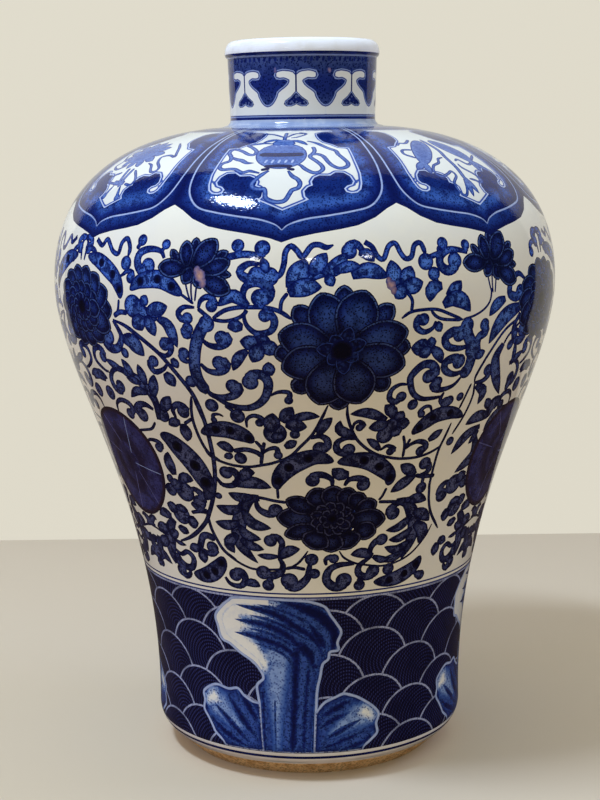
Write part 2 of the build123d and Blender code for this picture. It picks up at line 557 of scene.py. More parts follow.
@dataclass
class WallProfile:
    """The turned outline of the vase, with the sizes of its solids, in millimetres."""

    widest_height: float = 227.6
    dome_height: float = 72.6
    neck_height: float = 39.8
    widest_radius: float = 120.0
    skirt_radius: float = 75.0
    wall: float = 5.5
    flank_shares: Triple = (0.50, 0.21, 2.2)
    shoulder_shares: Triple = (0.70, 0.52, 0.06)
    neck_radius: float = 34.5
    neck_wall: float = 5.5
    neck_flare: float = 0.9
    neck_root_round: float = 3.6
    lip_overhang: float = 1.3
    lip_roll_height: float = 5.6
    lip_underside: float = 2.4
    lip_inner_run: float = 3.6
    lip_inner_roll: float = 4.2
    toe_inset: float = 14.0
    toe_corner_height: float = 13.0
    toe_round: float = 12.0
    foot_ring_width: float = 10.0
    foot_recess_depth: float = 7.0
    foot_recess_taper: float = 2.5
    floor_thickness: float = 9.0
    floor_round: float = 14.0
    neck_seam_rise: float = 2.0

    def __post_init__(self) -> None:
        """Works out the heights and the outer line with its arc length."""
        self.shoulder_height = self.widest_height + self.dome_height
        self.overall_height = self.shoulder_height + self.neck_height
        self.neck_seam = self.shoulder_height + self.neck_seam_rise
        self.foot_radius = self.skirt_radius - self.toe_inset
        self.line = self._outer_line()
        steps = np.linalg.norm(np.diff(self.line, axis=0), axis=1)
        self.length = np.concatenate([[0.0], np.cumsum(steps)])
        tangent = np.gradient(self.line, self.length, axis=0)
        self.out = np.stack([tangent[:, 1], -tangent[:, 0]], axis=1)
        self.out /= np.linalg.norm(self.out, axis=1)[:, None]

    @staticmethod
    def bezier(start: Point, pull_out: Point, pull_in: Point, end: Point, count: int = 240) -> np.ndarray:
        """Samples a cubic curve.

        Args:
            start: its first point.
            pull_out: point that it leaves towards.
            pull_in: point that it arrives from.
            end: its last point.
            count: number of samples.

        Returns:
            Radius and height of each sample.
        """
        t = np.linspace(0, 1, count)[:, None]
        points = [np.array(p) for p in (start, pull_out, pull_in, end)]
        weights = ((1 - t) ** 3, 3 * t * (1 - t) ** 2, 3 * t * t * (1 - t), t ** 3)
        return sum(w * p for w, p in zip(weights, points))

    @staticmethod
    def sweep(centre: Point, radii: Point, start: float, end: float, count: int = 40) -> np.ndarray:
        """Samples part of an ellipse.

        Args:
            centre: its middle.
            radii: its half-width and half-height.
            start: first angle in degrees.
            end: last angle in degrees.
            count: number of samples.

        Returns:
            Radius and height of each sample.
        """
        turn = np.radians(np.linspace(start, end, count))
        return np.stack([centre[0] + radii[0] * np.cos(turn), centre[1] + radii[1] * np.sin(turn)], axis=1)

    def flank(self, foot_radius: float, foot_height: float, side_radius: float) -> np.ndarray:
        """Samples the curve from the foot to the widest level.

        Args:
            foot_radius: radius where it starts.
            foot_height: height where it starts.
            side_radius: radius at the widest level.

        Returns:
            Radius and height of each sample.
        """
        start_share, end_share, pinch = self.flank_shares
        span = self.widest_height - foot_height
        return self.bezier(
            (foot_radius, foot_height), (foot_radius - pinch, foot_height + start_share * span),
            (side_radius, self.widest_height - end_share * span), (side_radius, self.widest_height),
        )

    def shoulder(self, side_radius: float, root_radius: float, root_height: float) -> np.ndarray:
        """Samples the curve from the widest level to the root of the neck.

        Args:
            side_radius: radius at the widest level.
            root_radius: radius where it ends.
            root_height: height where it ends.

        Returns:
            Radius and height of each sample.
        """
        rise_share, run_share, slope = self.shoulder_shares
        rise = rise_share * (root_height - self.widest_height)
        run = run_share * (side_radius - root_radius)
        return self.bezier(
            (side_radius, self.widest_height), (side_radius, self.widest_height + rise),
            (root_radius + run, root_height - slope * run), (root_radius, root_height),
        )

    def _outer_line(self) -> np.ndarray:
        """Joins the parts of the outer line, from the foot over the lip and down the bore.

        Returns:
            Radius and height of each sample.
        """
        lean = math.atan2(self.toe_inset, self.toe_corner_height)
        tangent = self.toe_round * math.tan(lean / 2)
        bevel_end = (
            self.skirt_radius - tangent * math.sin(lean), self.toe_corner_height - tangent * math.cos(lean),
        )
        toe_top = self.toe_corner_height + tangent
        mouth = self.neck_radius - self.neck_wall
        crown = mouth + self.lip_inner_run
        lip = self.neck_radius + self.neck_flare + self.lip_overhang
        lip_height = self.overall_height - self.lip_roll_height
        lip_base = lip_height - self.lip_underside
        bore_top = self.overall_height - self.lip_inner_roll
        neck_top = self.neck_radius + self.neck_flare
        root = self.neck_root_round
        turn = math.degrees(lean)
        parts = [
            np.linspace((self.foot_radius, 0), bevel_end, 20),
            self.sweep((self.skirt_radius - self.toe_round, toe_top), (self.toe_round,) * 2, -turn, 0),
            self.flank(self.skirt_radius, toe_top, self.widest_radius),
            self.shoulder(self.widest_radius, self.neck_radius + root, self.shoulder_height),
            self.sweep((self.neck_radius + root, self.shoulder_height + root), (root, root), 270, 180),
            np.linspace((self.neck_radius, self.shoulder_height + root), (neck_top, lip_base), 60),
            self.sweep((neck_top, lip_height), (self.lip_overhang, self.lip_underside), -90, 0, 14),
            self.sweep((crown, lip_height), (lip - crown, self.lip_roll_height), 0, 90),
            self.sweep((crown, bore_top), (self.lip_inner_run, self.lip_inner_roll), 90, 180),
            np.linspace((mouth, bore_top), (mouth, self.neck_seam), 40),
        ]
        joined = [parts[0]] + [part[1:] for part in parts[1:]]
        return np.vstack(joined)

    def radius(self, s: np.ndarray | float) -> np.ndarray:
        """Radius of the outer line at arc length s."""
        return np.interp(s, self.length, self.line[:, 0])

    def height(self, s: np.ndarray | float) -> np.ndarray:
        """Height of the outer line at arc length s."""
        return np.interp(s, self.length, self.line[:, 1])

    def outward(self, s: np.ndarray) -> np.ndarray:
        """Outward direction of the outer line at arc length s, as radius and height."""
        return np.stack([np.interp(s, self.length, self.out[:, i]) for i in (0, 1)], axis=1)

    def at_height(self, z: float) -> float:
        """Arc length at which the outer line reaches a height, on the outside of the lip."""
        outside = int(np.argmax(self.line[:, 1]))
        return float(np.interp(z, self.line[:outside, 1], self.length[:outside]))

    def inner_radius(self, z: float) -> float:
        """Finds the radius of the hollow at a height.

        Args:
            z: a height between the floor and the mouth.

        Returns:
            The radius.
        """
        toe = self.foot_recess_depth + self.floor_thickness
        inner_skirt = self.skirt_radius - self.wall
        top = toe + self.floor_round
        line = np.vstack([
            self.sweep((inner_skirt - self.floor_round, top), (self.floor_round,) * 2, -90, 0),
            self.flank(inner_skirt, top, self.widest_radius - self.wall)[1:],
            self.shoulder(
                self.widest_radius - self.wall, self.neck_radius - self.neck_wall + self.neck_root_round,
                self.shoulder_height - self.wall,
            )[1:],
            [(self.neck_radius - self.neck_wall, self.shoulder_height - self.wall + self.neck_root_round)],
            [(self.neck_radius - self.neck_wall, self.overall_height)],
        ])
        return float(np.interp(z, line[:, 1], line[:, 0]))

    def recess(self) -> Outline:
        """Works out the hollow under the base.

        Returns:
            Radius and height of its levels, from the outside of the foot ring to the axis.
        """
        rim = self.foot_radius - self.foot_ring_width
        depth = self.foot_recess_depth
        return (self.foot_radius, 0), (rim, 0), (rim - self.foot_recess_taper, depth), (0, depth)


# Brush strokes on the unrolled wall

class Brush(Enum):
    """How the width of a stroke runs from its start to its end."""

    STEM = "stem"
    LEAF = "leaf"
    POD = "pod"
    CURL = "curl"
    PETAL = "petal"
    RIBBON = "ribbon"

    def swell(self, t: np.ndarray) -> np.ndarray:
        """Share of the full half-width along the stroke.

        Args:
            t: share of the length, from 0 to 1.

        Returns:
            The width share at each t.
        """
        if self is Brush.LEAF:
            rise = 0.45 + 0.55 * np.sin(np.pi / 2 * np.minimum(t / 0.48, 1))
            return rise * np.maximum(0, 1 - np.maximum((t - 0.48) / 0.52, 0) ** 2) ** 0.85
        if self is Brush.POD:
            return 2.07 * t ** 0.5 * (1 - t) ** 0.55
        if self is Brush.CURL:
            return 0.3 + 0.7 * t ** 0.75
        if self is Brush.PETAL:
            rise = 0.4 + 0.6 * np.sin(np.pi / 2 * np.minimum(t / 0.52, 1))
            return rise * np.maximum(0, 1 - np.maximum((t - 0.52) / 0.48, 0) ** 2) ** 0.66
        if self is Brush.RIBBON:
            return np.minimum(1, 0.3 + 9 * (1 - t))
        return np.minimum(1, 0.5 + 7 * np.minimum(t, 1 - t))


@dataclass(frozen=True)
class Stroke:
    """One brush stroke: its width in millimetres and the line it follows, in degrees and millimetres."""

    brush: Brush
    width: float
    points: Outline


Strokes = Sequence[Stroke]


def stem(width: float, *points: Point) -> Stroke:
    """A stroke of even width."""
    return Stroke(Brush.STEM, width, points)


def leaf(width: float, *points: Point) -> Stroke:
    """A stroke from a stalk to a pointed tip."""
    return Stroke(Brush.LEAF, width, points)


def pod(width: float, *points: Point) -> Stroke:
    """A full leaf, round at its start."""
    return Stroke(Brush.POD, width, points)


def curl(width: float, *points: Point) -> Stroke:
    """A comma that grows from a thin tail to a round head."""
    return Stroke(Brush.CURL, width, points)


def ball(width: float, place: Point) -> Stroke:
    """A round dab of the brush."""
    return Stroke(Brush.CURL, width, (place,))


def ribbon(width: float, *points: Point) -> Stroke:
    """A stroke of even width that narrows at its end."""
    return Stroke(Brush.RIBBON, width, points)


def spray(width: float, centre: Point, *tips: Point) -> Strokes:
    """Pointed leaves from one centre to several tips."""
    return [leaf(width, centre, tip) for tip in tips]


def smooth_line(points: Outline | np.ndarray, step: float) -> np.ndarray:
    """Draws a smooth line through points.

    Args:
        points: the points that the line passes through.
        step: largest spacing of its samples.

    Returns:
        The samples.
    """
    p = np.asarray(points, float)
    padded = np.vstack([2 * p[0] - p[1], p, 2 * p[-1] - p[-2]])
    out = []
    for a, b, c, d in zip(padded, padded[1:], padded[2:], padded[3:]):
        count = max(2, math.ceil(np.linalg.norm(c - b) / step))
        t = (np.arange(count) / count)[:, None]
        square = (2 * a - 5 * b + 4 * c - d) * t ** 2
        cube = (3 * b - a - 3 * c + d) * t ** 3
        out.append(0.5 * (2 * b + (c - a) * t + square + cube))
    out.append(p[-1:])
    return np.vstack(out)


@dataclass
class Patch:
    """A closed outline of one finish on the unrolled wall, with points inside that give its depth."""

    outline: np.ndarray
    inner: np.ndarray
    finish: Finish
    layer: float
    origin: np.ndarray
    axis: np.ndarray
    scale: float
    is_ring: bool = False


class Canvas:
    """The unrolled wall, on which the patches of paint are laid in layers."""

    def __init__(self, profile: WallProfile) -> None:
        """Starts with a bare wall.

        Args:
            profile: the form that the canvas is wrapped on.
        """
        self.profile = profile
        self.patches: list[Patch] = []

    def per_degree(self, s: np.ndarray | float) -> np.ndarray:
        """Millimetres round the wall in one degree at arc length s."""
        return self.profile.radius(s) * DEGREE

    def area(
        self, points: np.ndarray, finish: Finish, layer: float, inner: np.ndarray | None = None,
        origin: np.ndarray | None = None, axis: np.ndarray | None = None,
    ) -> None:
        """Lays one closed outline.

        Args:
            points: the outline in degrees and millimetres.
            finish: its finish.
            layer: higher layers cover lower ones, and patches of one layer join.
            inner: points inside it that give its depth.
            origin: point that the patch measures its own place from, in millimetres.
            axis: direction and share per millimetre of that place.
        """
        points = np.asarray(points, float)
        x, y = points[:, 0], points[:, 1]
        if np.sum(x * np.roll(y, -1) - y * np.roll(x, -1)) < 0:
            points = points[::-1]
        scale = float(self.per_degree(points[:, 1].mean()))
        middle = np.array([points[:, 0].mean() * scale, points[:, 1].mean()])
        self.patches.append(Patch(
            points, np.empty((0, 2)) if inner is None else inner, finish, layer,
            middle if origin is None else origin, np.array([0.0, 1.0]) if axis is None else axis, scale,
        ))

    def ring(self, low: float, high: float, finish: Finish, layer: float) -> None:
        """Lays a band of even width all round the wall.

        Args:
            low: arc length of its lower edge.
            high: arc length of its upper edge.
            finish: its finish.
            layer: its layer.
        """
        turn = np.arange(-183, 183.1, 1.5)
        lower, middle, upper = (
            np.stack([turn, np.full_like(turn, s)], 1) for s in (low, (low + high) / 2, high)
        )
        self.area(np.vstack([lower, upper[::-1]]), finish, layer, middle)
        self.patches[-1].is_ring = True

    def shape(
        self, points: np.ndarray, finish: Finish, layer: float, step: float = 1.2, round_off: bool = False,
    ) -> None:
        """Lays an outline given by its corners.

        Args:
            points: the corners in degrees and millimetres.
            finish: its finish.
            layer: its layer.
            step: spacing of the samples on its edge, in millimetres.
            round_off: whether the line is smooth through the corners.
        """
        p = np.asarray(points, float)
        scale = self.per_degree(p[:, 1].mean())
        ring = np.vstack([p, p[:1]]) * (scale, 1)
        if round_off:
            edge = smooth_line(np.vstack([ring, ring[1:2]]), step)
            edge = edge[:-max(2, math.ceil(np.linalg.norm(ring[1] - ring[0]) / step)) - 1]
        else:
            edge = np.vstack([
                np.linspace(a, b, max(1, math.ceil(np.linalg.norm(b - a) / step)), endpoint=False)
                for a, b in zip(ring, ring[1:])
            ])
        self.area(edge / (scale, 1), finish, layer, self._filling(edge, scale, step))

    @staticmethod
    def _filling(edge: np.ndarray, scale: float, step: float) -> np.ndarray:
        """Points inside an outline, a little apart, that carry its depth.

        Args:
            edge: the outline in millimetres.
            scale: millimetres per degree.
            step: spacing of the points.

        Returns:
            The points in degrees and millimetres.
        """
        low, high = edge.min(0), edge.max(0)
        spacing = max(step, 1.3)
        rows = [np.arange(start, end, spacing) for start, end in zip(low, high)]
        grid = np.stack(np.meshgrid(*rows), -1).reshape(-1, 2)
        grid[:, 0] += (np.round(grid[:, 1] / spacing) % 2) * spacing / 2
        held = grid[inside(grid, edge)]
        return held / (scale, 1)

    def stroke(
        self, mark: Stroke, finish: Finish, layer: float, centre: float = 0.0, turn: float = 1.0,
    ) -> None:
        """Lays one brush stroke.

        Args:
            mark: the stroke.
            finish: its finish.
            layer: its layer.
            centre: angle that the stroke's own angles are measured from.
            turn: share by which its angles are stretched, negative for the mirror image.
        """
        points = np.array(mark.points, float)
        points[:, 0] = centre + turn * points[:, 0]
        scale = float(self.per_degree(points[:, 1].mean()))
        end = points[-1] * (scale, 1)
        if mark.brush is Brush.CURL:
            radius = mark.width * (0.7 if len(points) > 1 else 0.5)
            angles = np.linspace(0, 2 * np.pi, max(12, round(7 * radius)), endpoint=False)
            disc = end + radius * np.stack([np.cos(angles), np.sin(angles)], 1)
            # A far origin keeps the whole dab half-way along the stroke, where no end is darkened
            middle = (end / (scale, 1))[None]
            self.area(disc / (scale, 1), finish, layer, middle, end - (0, 1000), np.array([0, 0.0005]))
        if len(points) == 1:
            return
        line = smooth_line(points * (scale, 1), 0.5) / (scale, 1)
        local = np.stack([line[:, 0] * self.per_degree(line[:, 1]), line[:, 1]], 1)
        lengths = np.concatenate([[0], np.cumsum(np.linalg.norm(np.diff(local, axis=0), axis=1))])
        count = max(4, math.ceil(lengths[-1] / min(1.3, max(0.7, 0.3 * mark.width))))
        share = np.linspace(0, 1, count + 1)
        if mark.brush in (Brush.LEAF, Brush.POD, Brush.PETAL):
            share = 0.35 * share + 0.65 * (0.5 - 0.5 * np.cos(np.pi * share))
        line = np.stack([np.interp(share * lengths[-1], lengths, line[:, i]) for i in (0, 1)], 1)
        half = mark.width / 2 * mark.brush.swell(share)
        along = np.gradient(line, axis=0) * np.stack([self.per_degree(line[:, 1]), np.ones(len(line))], 1)
        along /= np.maximum(np.linalg.norm(along, axis=1), 1e-9)[:, None]
        across = np.stack([-along[:, 1], along[:, 0]], 1) * half[:, None]
        across[:, 0] /= self.per_degree(line[:, 1])
        outline = np.vstack([line + across, (line - across)[::-1]])
        start = points[0] * (scale, 1)
        run = end - start
        reach = 0.5 if mark.brush is Brush.CURL else 1.0
        self.area(outline, finish, layer, line[1:-1], start, reach * run / max(1.0, run @ run))

    def strokes(
        self, marks: Strokes, finish: Finish, layer: float, centre: float = 0.0, turn: float = 1.0,
    ) -> None:
        """Lays several brush strokes in one layer."""
        for mark in marks:
            self.stroke(mark, finish, layer, centre, turn)

    def petals(
        self, marks: Strokes, finish: Finish, layer: float, centre: float = 0.0, turn: float = 1.0,
    ) -> None:
        """Lays strokes each over the one before it."""
        for place, mark in enumerate(marks):
            self.stroke(mark, finish, layer + 0.001 * place, centre, turn)


def inside(points: np.ndarray, outline: np.ndarray) -> np.ndarray:
    """Tells which points an outline winds round.

    Args:
        points: the points to test.
        outline: the closed outline.

    Returns:
        True for each point inside.
    """
    if not len(points):
        return np.zeros(0, bool)
    a, b = outline, np.roll(outline, -1, axis=0)
    px, py = points[:, 0, None], points[:, 1, None]
    side = (b[:, 0] - a[:, 0]) * (py - a[:, 1]) - (px - a[:, 0]) * (b[:, 1] - a[:, 1])
    up = (a[:, 1] <= py) & (b[:, 1] > py) & (side > 0)
    down = (a[:, 1] > py) & (b[:, 1] <= py) & (side < 0)
    return (up.sum(1) - down.sum(1)) != 0


def depth_in(points: np.ndarray, outline: np.ndarray) -> np.ndarray:
    """Distance of each point from an outline.

    Args:
        points: the points to measure.
        outline: the closed outline.

    Returns:
        The distances.
    """
    a = outline
    run = np.roll(outline, -1, axis=0) - a
    square = np.maximum((run ** 2).sum(1), 1e-12)
    away = points[:, None, :] - a[None]
    t = np.clip((away * run).sum(2) / square, 0, 1)
    return np.sqrt(((away - t[..., None] * run) ** 2).sum(2).min(1))


# The painting

@dataclass
class LotusScroll:
    """The belt of flowers, pods and curling leaves round the body.

    Six cells alternate two designs. Angles are measured from the middle of a cell.
    """

    canvas: Canvas
    lotus_cells: tuple[Triple, ...] = ((7, -26.5, 36), (123, 93, 153), (243, 213, 274))
    aster_cells: tuple[Triple, ...] = ((63, 36, 93), (183, 153, 213), (-56, -86, -26.5))
    half_lotus_places: tuple[float, ...] = (-23, 42.5, 93, 153, 213, -86)
    lotus_left_width: float = 33.5
    lotus_right_width: float = 29.0
    aster_width: float = 29.5
    burns: tuple[Triple, ...] = ((-21.8, 250.4, 5.2), (17, 246, 4.2))
    burn_dabs: tuple[Triple, ...] = ((-0.5, 0.5, 0.6), (0.5, -0.45, 0.65), (0, 0, 1))
    rays: tuple[tuple[float, float, Finish], ...] = (
        (68, 0.2, Finish.PALE), (118, 0.4, Finish.RAY), (-8, 0.1, Finish.PALE), (-52, 0.2, Finish.RAY),
        (-100, 0.2, Finish.RAY), (160, 0.4, Finish.RAY),
    )
    leaf_layer: float = 10
    flower_layer: float = 14
    stem_spread: float = 1.25
    leaf_spread: float = 1.3
    pod_spread: float = 1.15
    petal_spread: float = 1.28

    lotus_back: tuple[Petal, ...] = (
        (7, (0.5, 236), (0.6, 247)), (7.5, (-6, 230), (-9.5, 238.5)), (7.5, (6.5, 230), (10.8, 238)),
        (7, (-9, 219), (-13.8, 217.5)), (7, (10, 220), (15, 219)), (7, (-7, 206), (-10, 200.5)),
        (7, (7.5, 207), (10.8, 200)), (7.5, (0, 200), (0, 191.2)),
    )
    lotus_front: tuple[Petal, ...] = (
        (13.5, (-1.2, 223), (-4.2, 244)), (15, (1.2, 223), (5, 244.6)), (12.5, (-2, 221), (-12.8, 226.5)),
        (12.5, (2, 221), (14.2, 226.5)), (12.5, (-2, 217), (-12.4, 211)), (13, (2, 217), (14.2, 211)),
        (14.5, (-1.2, 215), (-4.5, 194)), (15, (1.2, 215), (5, 194)),
    )
    aster_petals: tuple[Petal, ...] = (
        (9.5, (-4, 137), (-15.9, 138)), (7, (-4, 133), (-14, 129)), (7.5, (-5, 141), (-13, 147.3)),
        (9, (-3.5, 143), (-5.4, 153.3)), (9, (-0.5, 143), (-0.5, 154.3)), (8, (2.4, 143), (4, 153)),
        (8, (4.5, 142), (7.9, 149.6)), (7.5, (6, 140), (12, 144.5)), (9.5, (4, 136), (15.3, 135)),
        (8, (6, 132), (12.8, 128.2)), (10.5, (3, 130), (5.7, 121.2)), (9.5, (-0.3, 130), (-0.3, 119.6)),
        (11, (-3.5, 131), (-6.3, 121.6)),
    )
    half_lotus: tuple[Petal, ...] = (
        (3.6, (-3.6, 256), (-5.7, 261.6)), (3.8, (0, 260), (0, 267)), (3.6, (4, 257.5), (7.4, 261)),
        (3.2, (4.5, 252), (8.2, 251)), (5.2, (-0.4, 254.5), (-2.4, 246.8)), (5.2, (0.6, 253), (1.6, 245)),
        (7.4, (1.4, 250), (8, 243.9)), (6.4, (1.6, 252), (7.9, 257)), (6.8, (-1.8, 253.2), (-8.6, 253.8)),
        (5.8, (-1.6, 254), (-2.2, 265.7)), (8, (-0.2, 254), (4.7, 266.3)),
    )
    half_lotus_stems: Strokes = (
        stem(0.9, (-1.9, 248.5), (-1.3, 243.6), (-0.7, 240)),
        stem(0.9, (-0.5, 248), (-0.5, 243.6), (-0.3, 240)), stem(0.9, (0.7, 246.2), (0.3, 240)),
    )

    # The right half of a lotus cell
    lotus_right: Strokes = (
        stem(1.2, (12.4, 232), (14.4, 234.5), (17.6, 235.2), (20.5, 234.8), (23.5, 232.5), (27, 229.5)),
        stem(1.2, (18.9, 234.7), (20.2, 232), (22, 230.5), (25, 229.8), (26.7, 229.6)),
        stem(0.9, (27, 229.7), (30.2, 231), (32.9, 233.5), (34.4, 237), (34.8, 242)),
        stem(1.2, (1.9, 194), (2.1, 188.5), (3.2, 182), (5, 176), (7.9, 171), (10.8, 168), (14.6, 166),
            (17.6, 165.2), (21.4, 165.2), (25, 166.5), (27.9, 169), (28.6, 171)),
        stem(1.2, (29.8, 180.5), (28.9, 174), (27.9, 167.5), (27.6, 160), (27.6, 150), (27.9, 147.5),
            (28.8, 141), (30.8, 134), (35, 125.5)),
        stem(1.1, (33, 199), (32, 192.5), (31.1, 187)),
        stem(1.1, (34, 199), (34.6, 192.5), (33.5, 183.5), (31.1, 174.5)), ball(4, (31, 171)),
        stem(1.1, (14.1, 151), (13.9, 150), (13.2, 147), (12.3, 145)),
        stem(0.9, (2, 120.5), (3.5, 117), (6.7, 114), (10.2, 112.5), (16.1, 111), (22, 112.5),
            (26.4, 116), (30.2, 122.5), (32, 128.5)),
        stem(1.2, (16.4, 177), (17.2, 172), (17.3, 166)), stem(1.2, (18.5, 175), (17.6, 171)),
        curl(3.5, (20.2, 230), (19.6, 227), (17.6, 225.5), (15.8, 228), (16.1, 231.5), (17.3, 231)),
        curl(4.2, (24.4, 194.5), (22, 194.2), (19.4, 194.5), (17, 197.5), (15.8, 203.5), (16.1, 206.5),
            (18.2, 210.5), (20.5, 210.5), (22, 206.5), (20.3, 205)),
        ball(4.6, (17.4, 192)),
        curl(3.2, (29.4, 203.5), (27.5, 199.5), (25, 198), (22.8, 198.2), (21.5, 200.5), (22.8, 202)),
        curl(3.2, (25.2, 196.5), (24.6, 193), (26.1, 190.5), (27.3, 192)),
        curl(3.2, (15.2, 202), (13.5, 202.2), (11.7, 200), (11.4, 196), (12.9, 194), (14.2, 196.3)),
        curl(2.4, (3.5, 181.5), (3.8, 184.5), (5, 185.5), (6.1, 183.5), (5.1, 182.5)),
        curl(3.8, (4.4, 177), (2, 177.5), (0, 175.5), (0.2, 171.5), (2.3, 170), (2.9, 171.8)),
        curl(2.6, (10.8, 170.5), (12.6, 172.5), (14.6, 170.5), (13.6, 169.5)),
        curl(2.4, (22.9, 187), (22.3, 190), (20.8, 190.3), (19.6, 188), (20.2, 186.8)),
        curl(3.2, (17.6, 170), (18.8, 172), (20.8, 173.2), (22.9, 172), (23.5, 169.5), (22.1, 168.2)),
        leaf(3.5, (20.4, 229.5), (21.7, 225)), leaf(6, (19.5, 218.5), (14.9, 218.8)),
        leaf(5, (17.5, 219), (18.2, 222.6)), leaf(4.5, (18.5, 220), (20.9, 221)),
        leaf(5.5, (18, 219), (19, 213.5)), leaf(4, (19.8, 218.5), (22, 214.5), (22.9, 210.5)),
        ball(8, (13, 181.5)), leaf(4, (11.5, 185.5), (6.7, 189.5), (2.6, 189.3)),
        leaf(4.5, (13, 186), (12.6, 189), (10.5, 193)), leaf(4.5, (14, 184.5), (15.3, 189.4)),
        leaf(5, (14, 183), (17.6, 183)), leaf(4.5, (12, 183.5), (7.2, 182)), ball(7, (11.5, 177.8)),
        leaf(5, (13.5, 181), (15.3, 177.2)), leaf(4, (4, 178), (0.5, 182), (0.5, 186.5)),
        leaf(3, (10.8, 170.5), (8.8, 174.5), (7, 176.8)), leaf(3.5, (23.8, 173), (27.6, 177.8)),
        ball(5.2, (18.2, 109)), stem(1.4, (12.4, 144.2), (15, 143.8), (18.5, 143.2)),
        curl(4, (2.5, 153.6), (3.6, 156.6), (6.2, 157), (8.2, 154.9), (7.5, 153.6)),
        leaf(5, (3.5, 159.4), (1.3, 159.4), (-1, 162.6)),
        leaf(4.6, (22.2, 156.4), (18.9, 152.6), (15.4, 148.4)),
        leaf(4.6, (22, 156), (19.8, 159.2), (17, 162.4)),
        stem(1.8, (28.6, 154.2), (24.3, 154.8), (22.2, 156)),
        curl(4, (23, 155.4), (25.6, 156.4), (26, 159.4), (24.4, 161.4)),
        stem(1.6, (24.9, 154.6), (24.9, 150)), ball(5.2, (24.9, 148.8)),
        leaf(5.6, (17.5, 143.4), (21, 142.2), (23.6, 136.4), (25.2, 129.4), (24.6, 121.2), (22.2, 112.6)),
        leaf(4.4, (21, 143), (24.1, 143.8), (27.8, 141.8)), leaf(3, (20.8, 142), (21.8, 145.2)),
        curl(4.2, (19.6, 142.4), (16.6, 141), (15.9, 138.2), (17.3, 137.4)),
        leaf(4.6, (23.8, 137), (27.2, 135.2), (30.6, 130.6)),
        leaf(5.2, (25, 131), (28.7, 126), (28, 119.6)),
        leaf(3.8, (23.8, 135.2), (19.9, 130), (15.7, 128.9)),
        leaf(3.8, (24.6, 128.4), (20.9, 124.4), (17, 123.9)),
        leaf(3.8, (24.4, 122), (20.3, 118.4), (15.9, 120.6)),
        leaf(3.6, (23.4, 117.6), (19.4, 114.4), (14.8, 114)),
        curl(3.8, (12, 116), (11.5, 120.2), (12.8, 123.6), (14.8, 124.6)),
        leaf(4.2, (12.5, 116.6), (8.9, 118.8), (5.4, 118.2)),
        leaf(3, (12.5, 116.4), (15.7, 114.2), (18.4, 114.6)),
        curl(4.2, (12, 116.4), (8.6, 112.6), (8.2, 109), (9.9, 106.6), (12.4, 106.8), (13, 108.8)),
        stem(2.4, (9, 106.4), (8.9, 103)), ball(4.8, (8.9, 102.4)),
        curl(3, (-1.7, 113.4), (-2, 116.2), (-0.6, 117.6), (0.5, 116.7)),
        curl(4.8, (6.9, 113.6), (2.4, 113.4), (-0.7, 111.2), (-1.6, 106.2), (0.5, 102.6), (3.2, 102.8),
            (3.8, 105.4)),
        pod(7, (30, 113), (28, 108.4), (23.6, 104.8), (19, 103.2), (13.5, 103.2)),
        ball(4.5, (31.1, 102.8)),
        pod(6.8, (18.8, 176.8), (19.6, 179), (22, 182.5), (25, 185.5), (29.4, 185.5), (33.2, 182.8)),
        pod(7.8, (14.4, 152), (14.6, 156), (12.9, 160), (8.8, 165), (4.4, 166.5), (0.2, 165.5)),
        curl(2.6, (27.5, 109), (28.5, 105), (29.9, 103.5)),
        ribbon(2.4, (5.1, 264.4), (6.6, 262.2), (7.5, 258.4), (8.8, 257), (10.1, 262.2), (11.6, 263.4),
            (12.6, 259.2), (13.6, 256.8), (14.9, 257.6), (15.8, 262.2), (17.2, 263.2), (17.9, 260),
            (18.1, 256.6)),
        curl(4.2, (4.3, 257.6), (4.4, 261.2), (3.1, 263.8), (1.6, 262.2), (1.8, 260.6)),
        leaf(4, (3.7, 260), (5.5, 259.2), (6.9, 256)), ball(6.4, (18, 255.2)),
        leaf(5.4, (2.1, 250.4), (5.6, 252.6), (9.7, 249.4)),
        leaf(5.8, (12.6, 245.8), (11.1, 249.4), (10.3, 256.6)),
        leaf(5.8, (12.6, 245.8), (13.6, 249), (14.7, 253.8)),
        leaf(5.8, (12.6, 245.8), (14.6, 245.4), (17.2, 246.9)),
        leaf(5.4, (12.8, 246), (12, 243), (10.9, 240.4)), ball(6, (12.8, 246)),
        stem(1.3, (13.1, 243.8), (14.6, 239.6), (14.5, 234.8)),
        curl(4.6, (28.6, 258), (26.3, 259.4), (23.7, 259.6), (21.6, 257.2), (21.4, 253.6), (22.9, 251),
            (24.7, 252.2), (25, 255)),
        ball(4.8, (22.5, 262.6)), stem(2, (21.8, 261.4), (21.4, 259.8), (21.7, 258)),
        ball(4.2, (28.3, 261.4)), stem(2, (27.7, 260.6), (28.7, 258.4)),
        stem(2, (18.7, 256.8), (20.3, 257.8), (21.8, 258.6)), ball(5.2, (19.7, 250)),
        stem(2.4, (19.8, 248), (20.4, 245.2)), leaf(5.2, (21.6, 244.8), (19.2, 243.8), (18.6, 238.2)),
        leaf(5.2, (22.7, 240), (24.6, 242.6), (26.4, 246.4)),
        leaf(5.8, (21.8, 236.4), (24.2, 239), (26.7, 237.6), (28.9, 232.8)),
        stem(4.8, (28, 227.8), (28.9, 222.4), (30.6, 216.8), (31, 209.8), (30.1, 203)),
        ball(6.6, (28.3, 226.6)), ball(6.2, (30.5, 215.4)), ball(5.8, (30.2, 205.4)),
        curl(4.6, (29.8, 217.6), (27, 216.8), (24, 218), (22.9, 222), (24.8, 224.6), (26.6, 223.4)),
        curl(4.4, (30, 206), (26.8, 204.8), (24.2, 207.2), (24, 211), (26.3, 212.4), (27.6, 210.6)),
        stem(3.6, (33.4, 226), (34, 223), (32.2, 221), (31.9, 217.4), (32.9, 211.8)),
        ball(5, (33.3, 226.4)), leaf(3.8, (32.2, 211.6), (35, 214)), ball(4.8, (22.6, 199.6)),
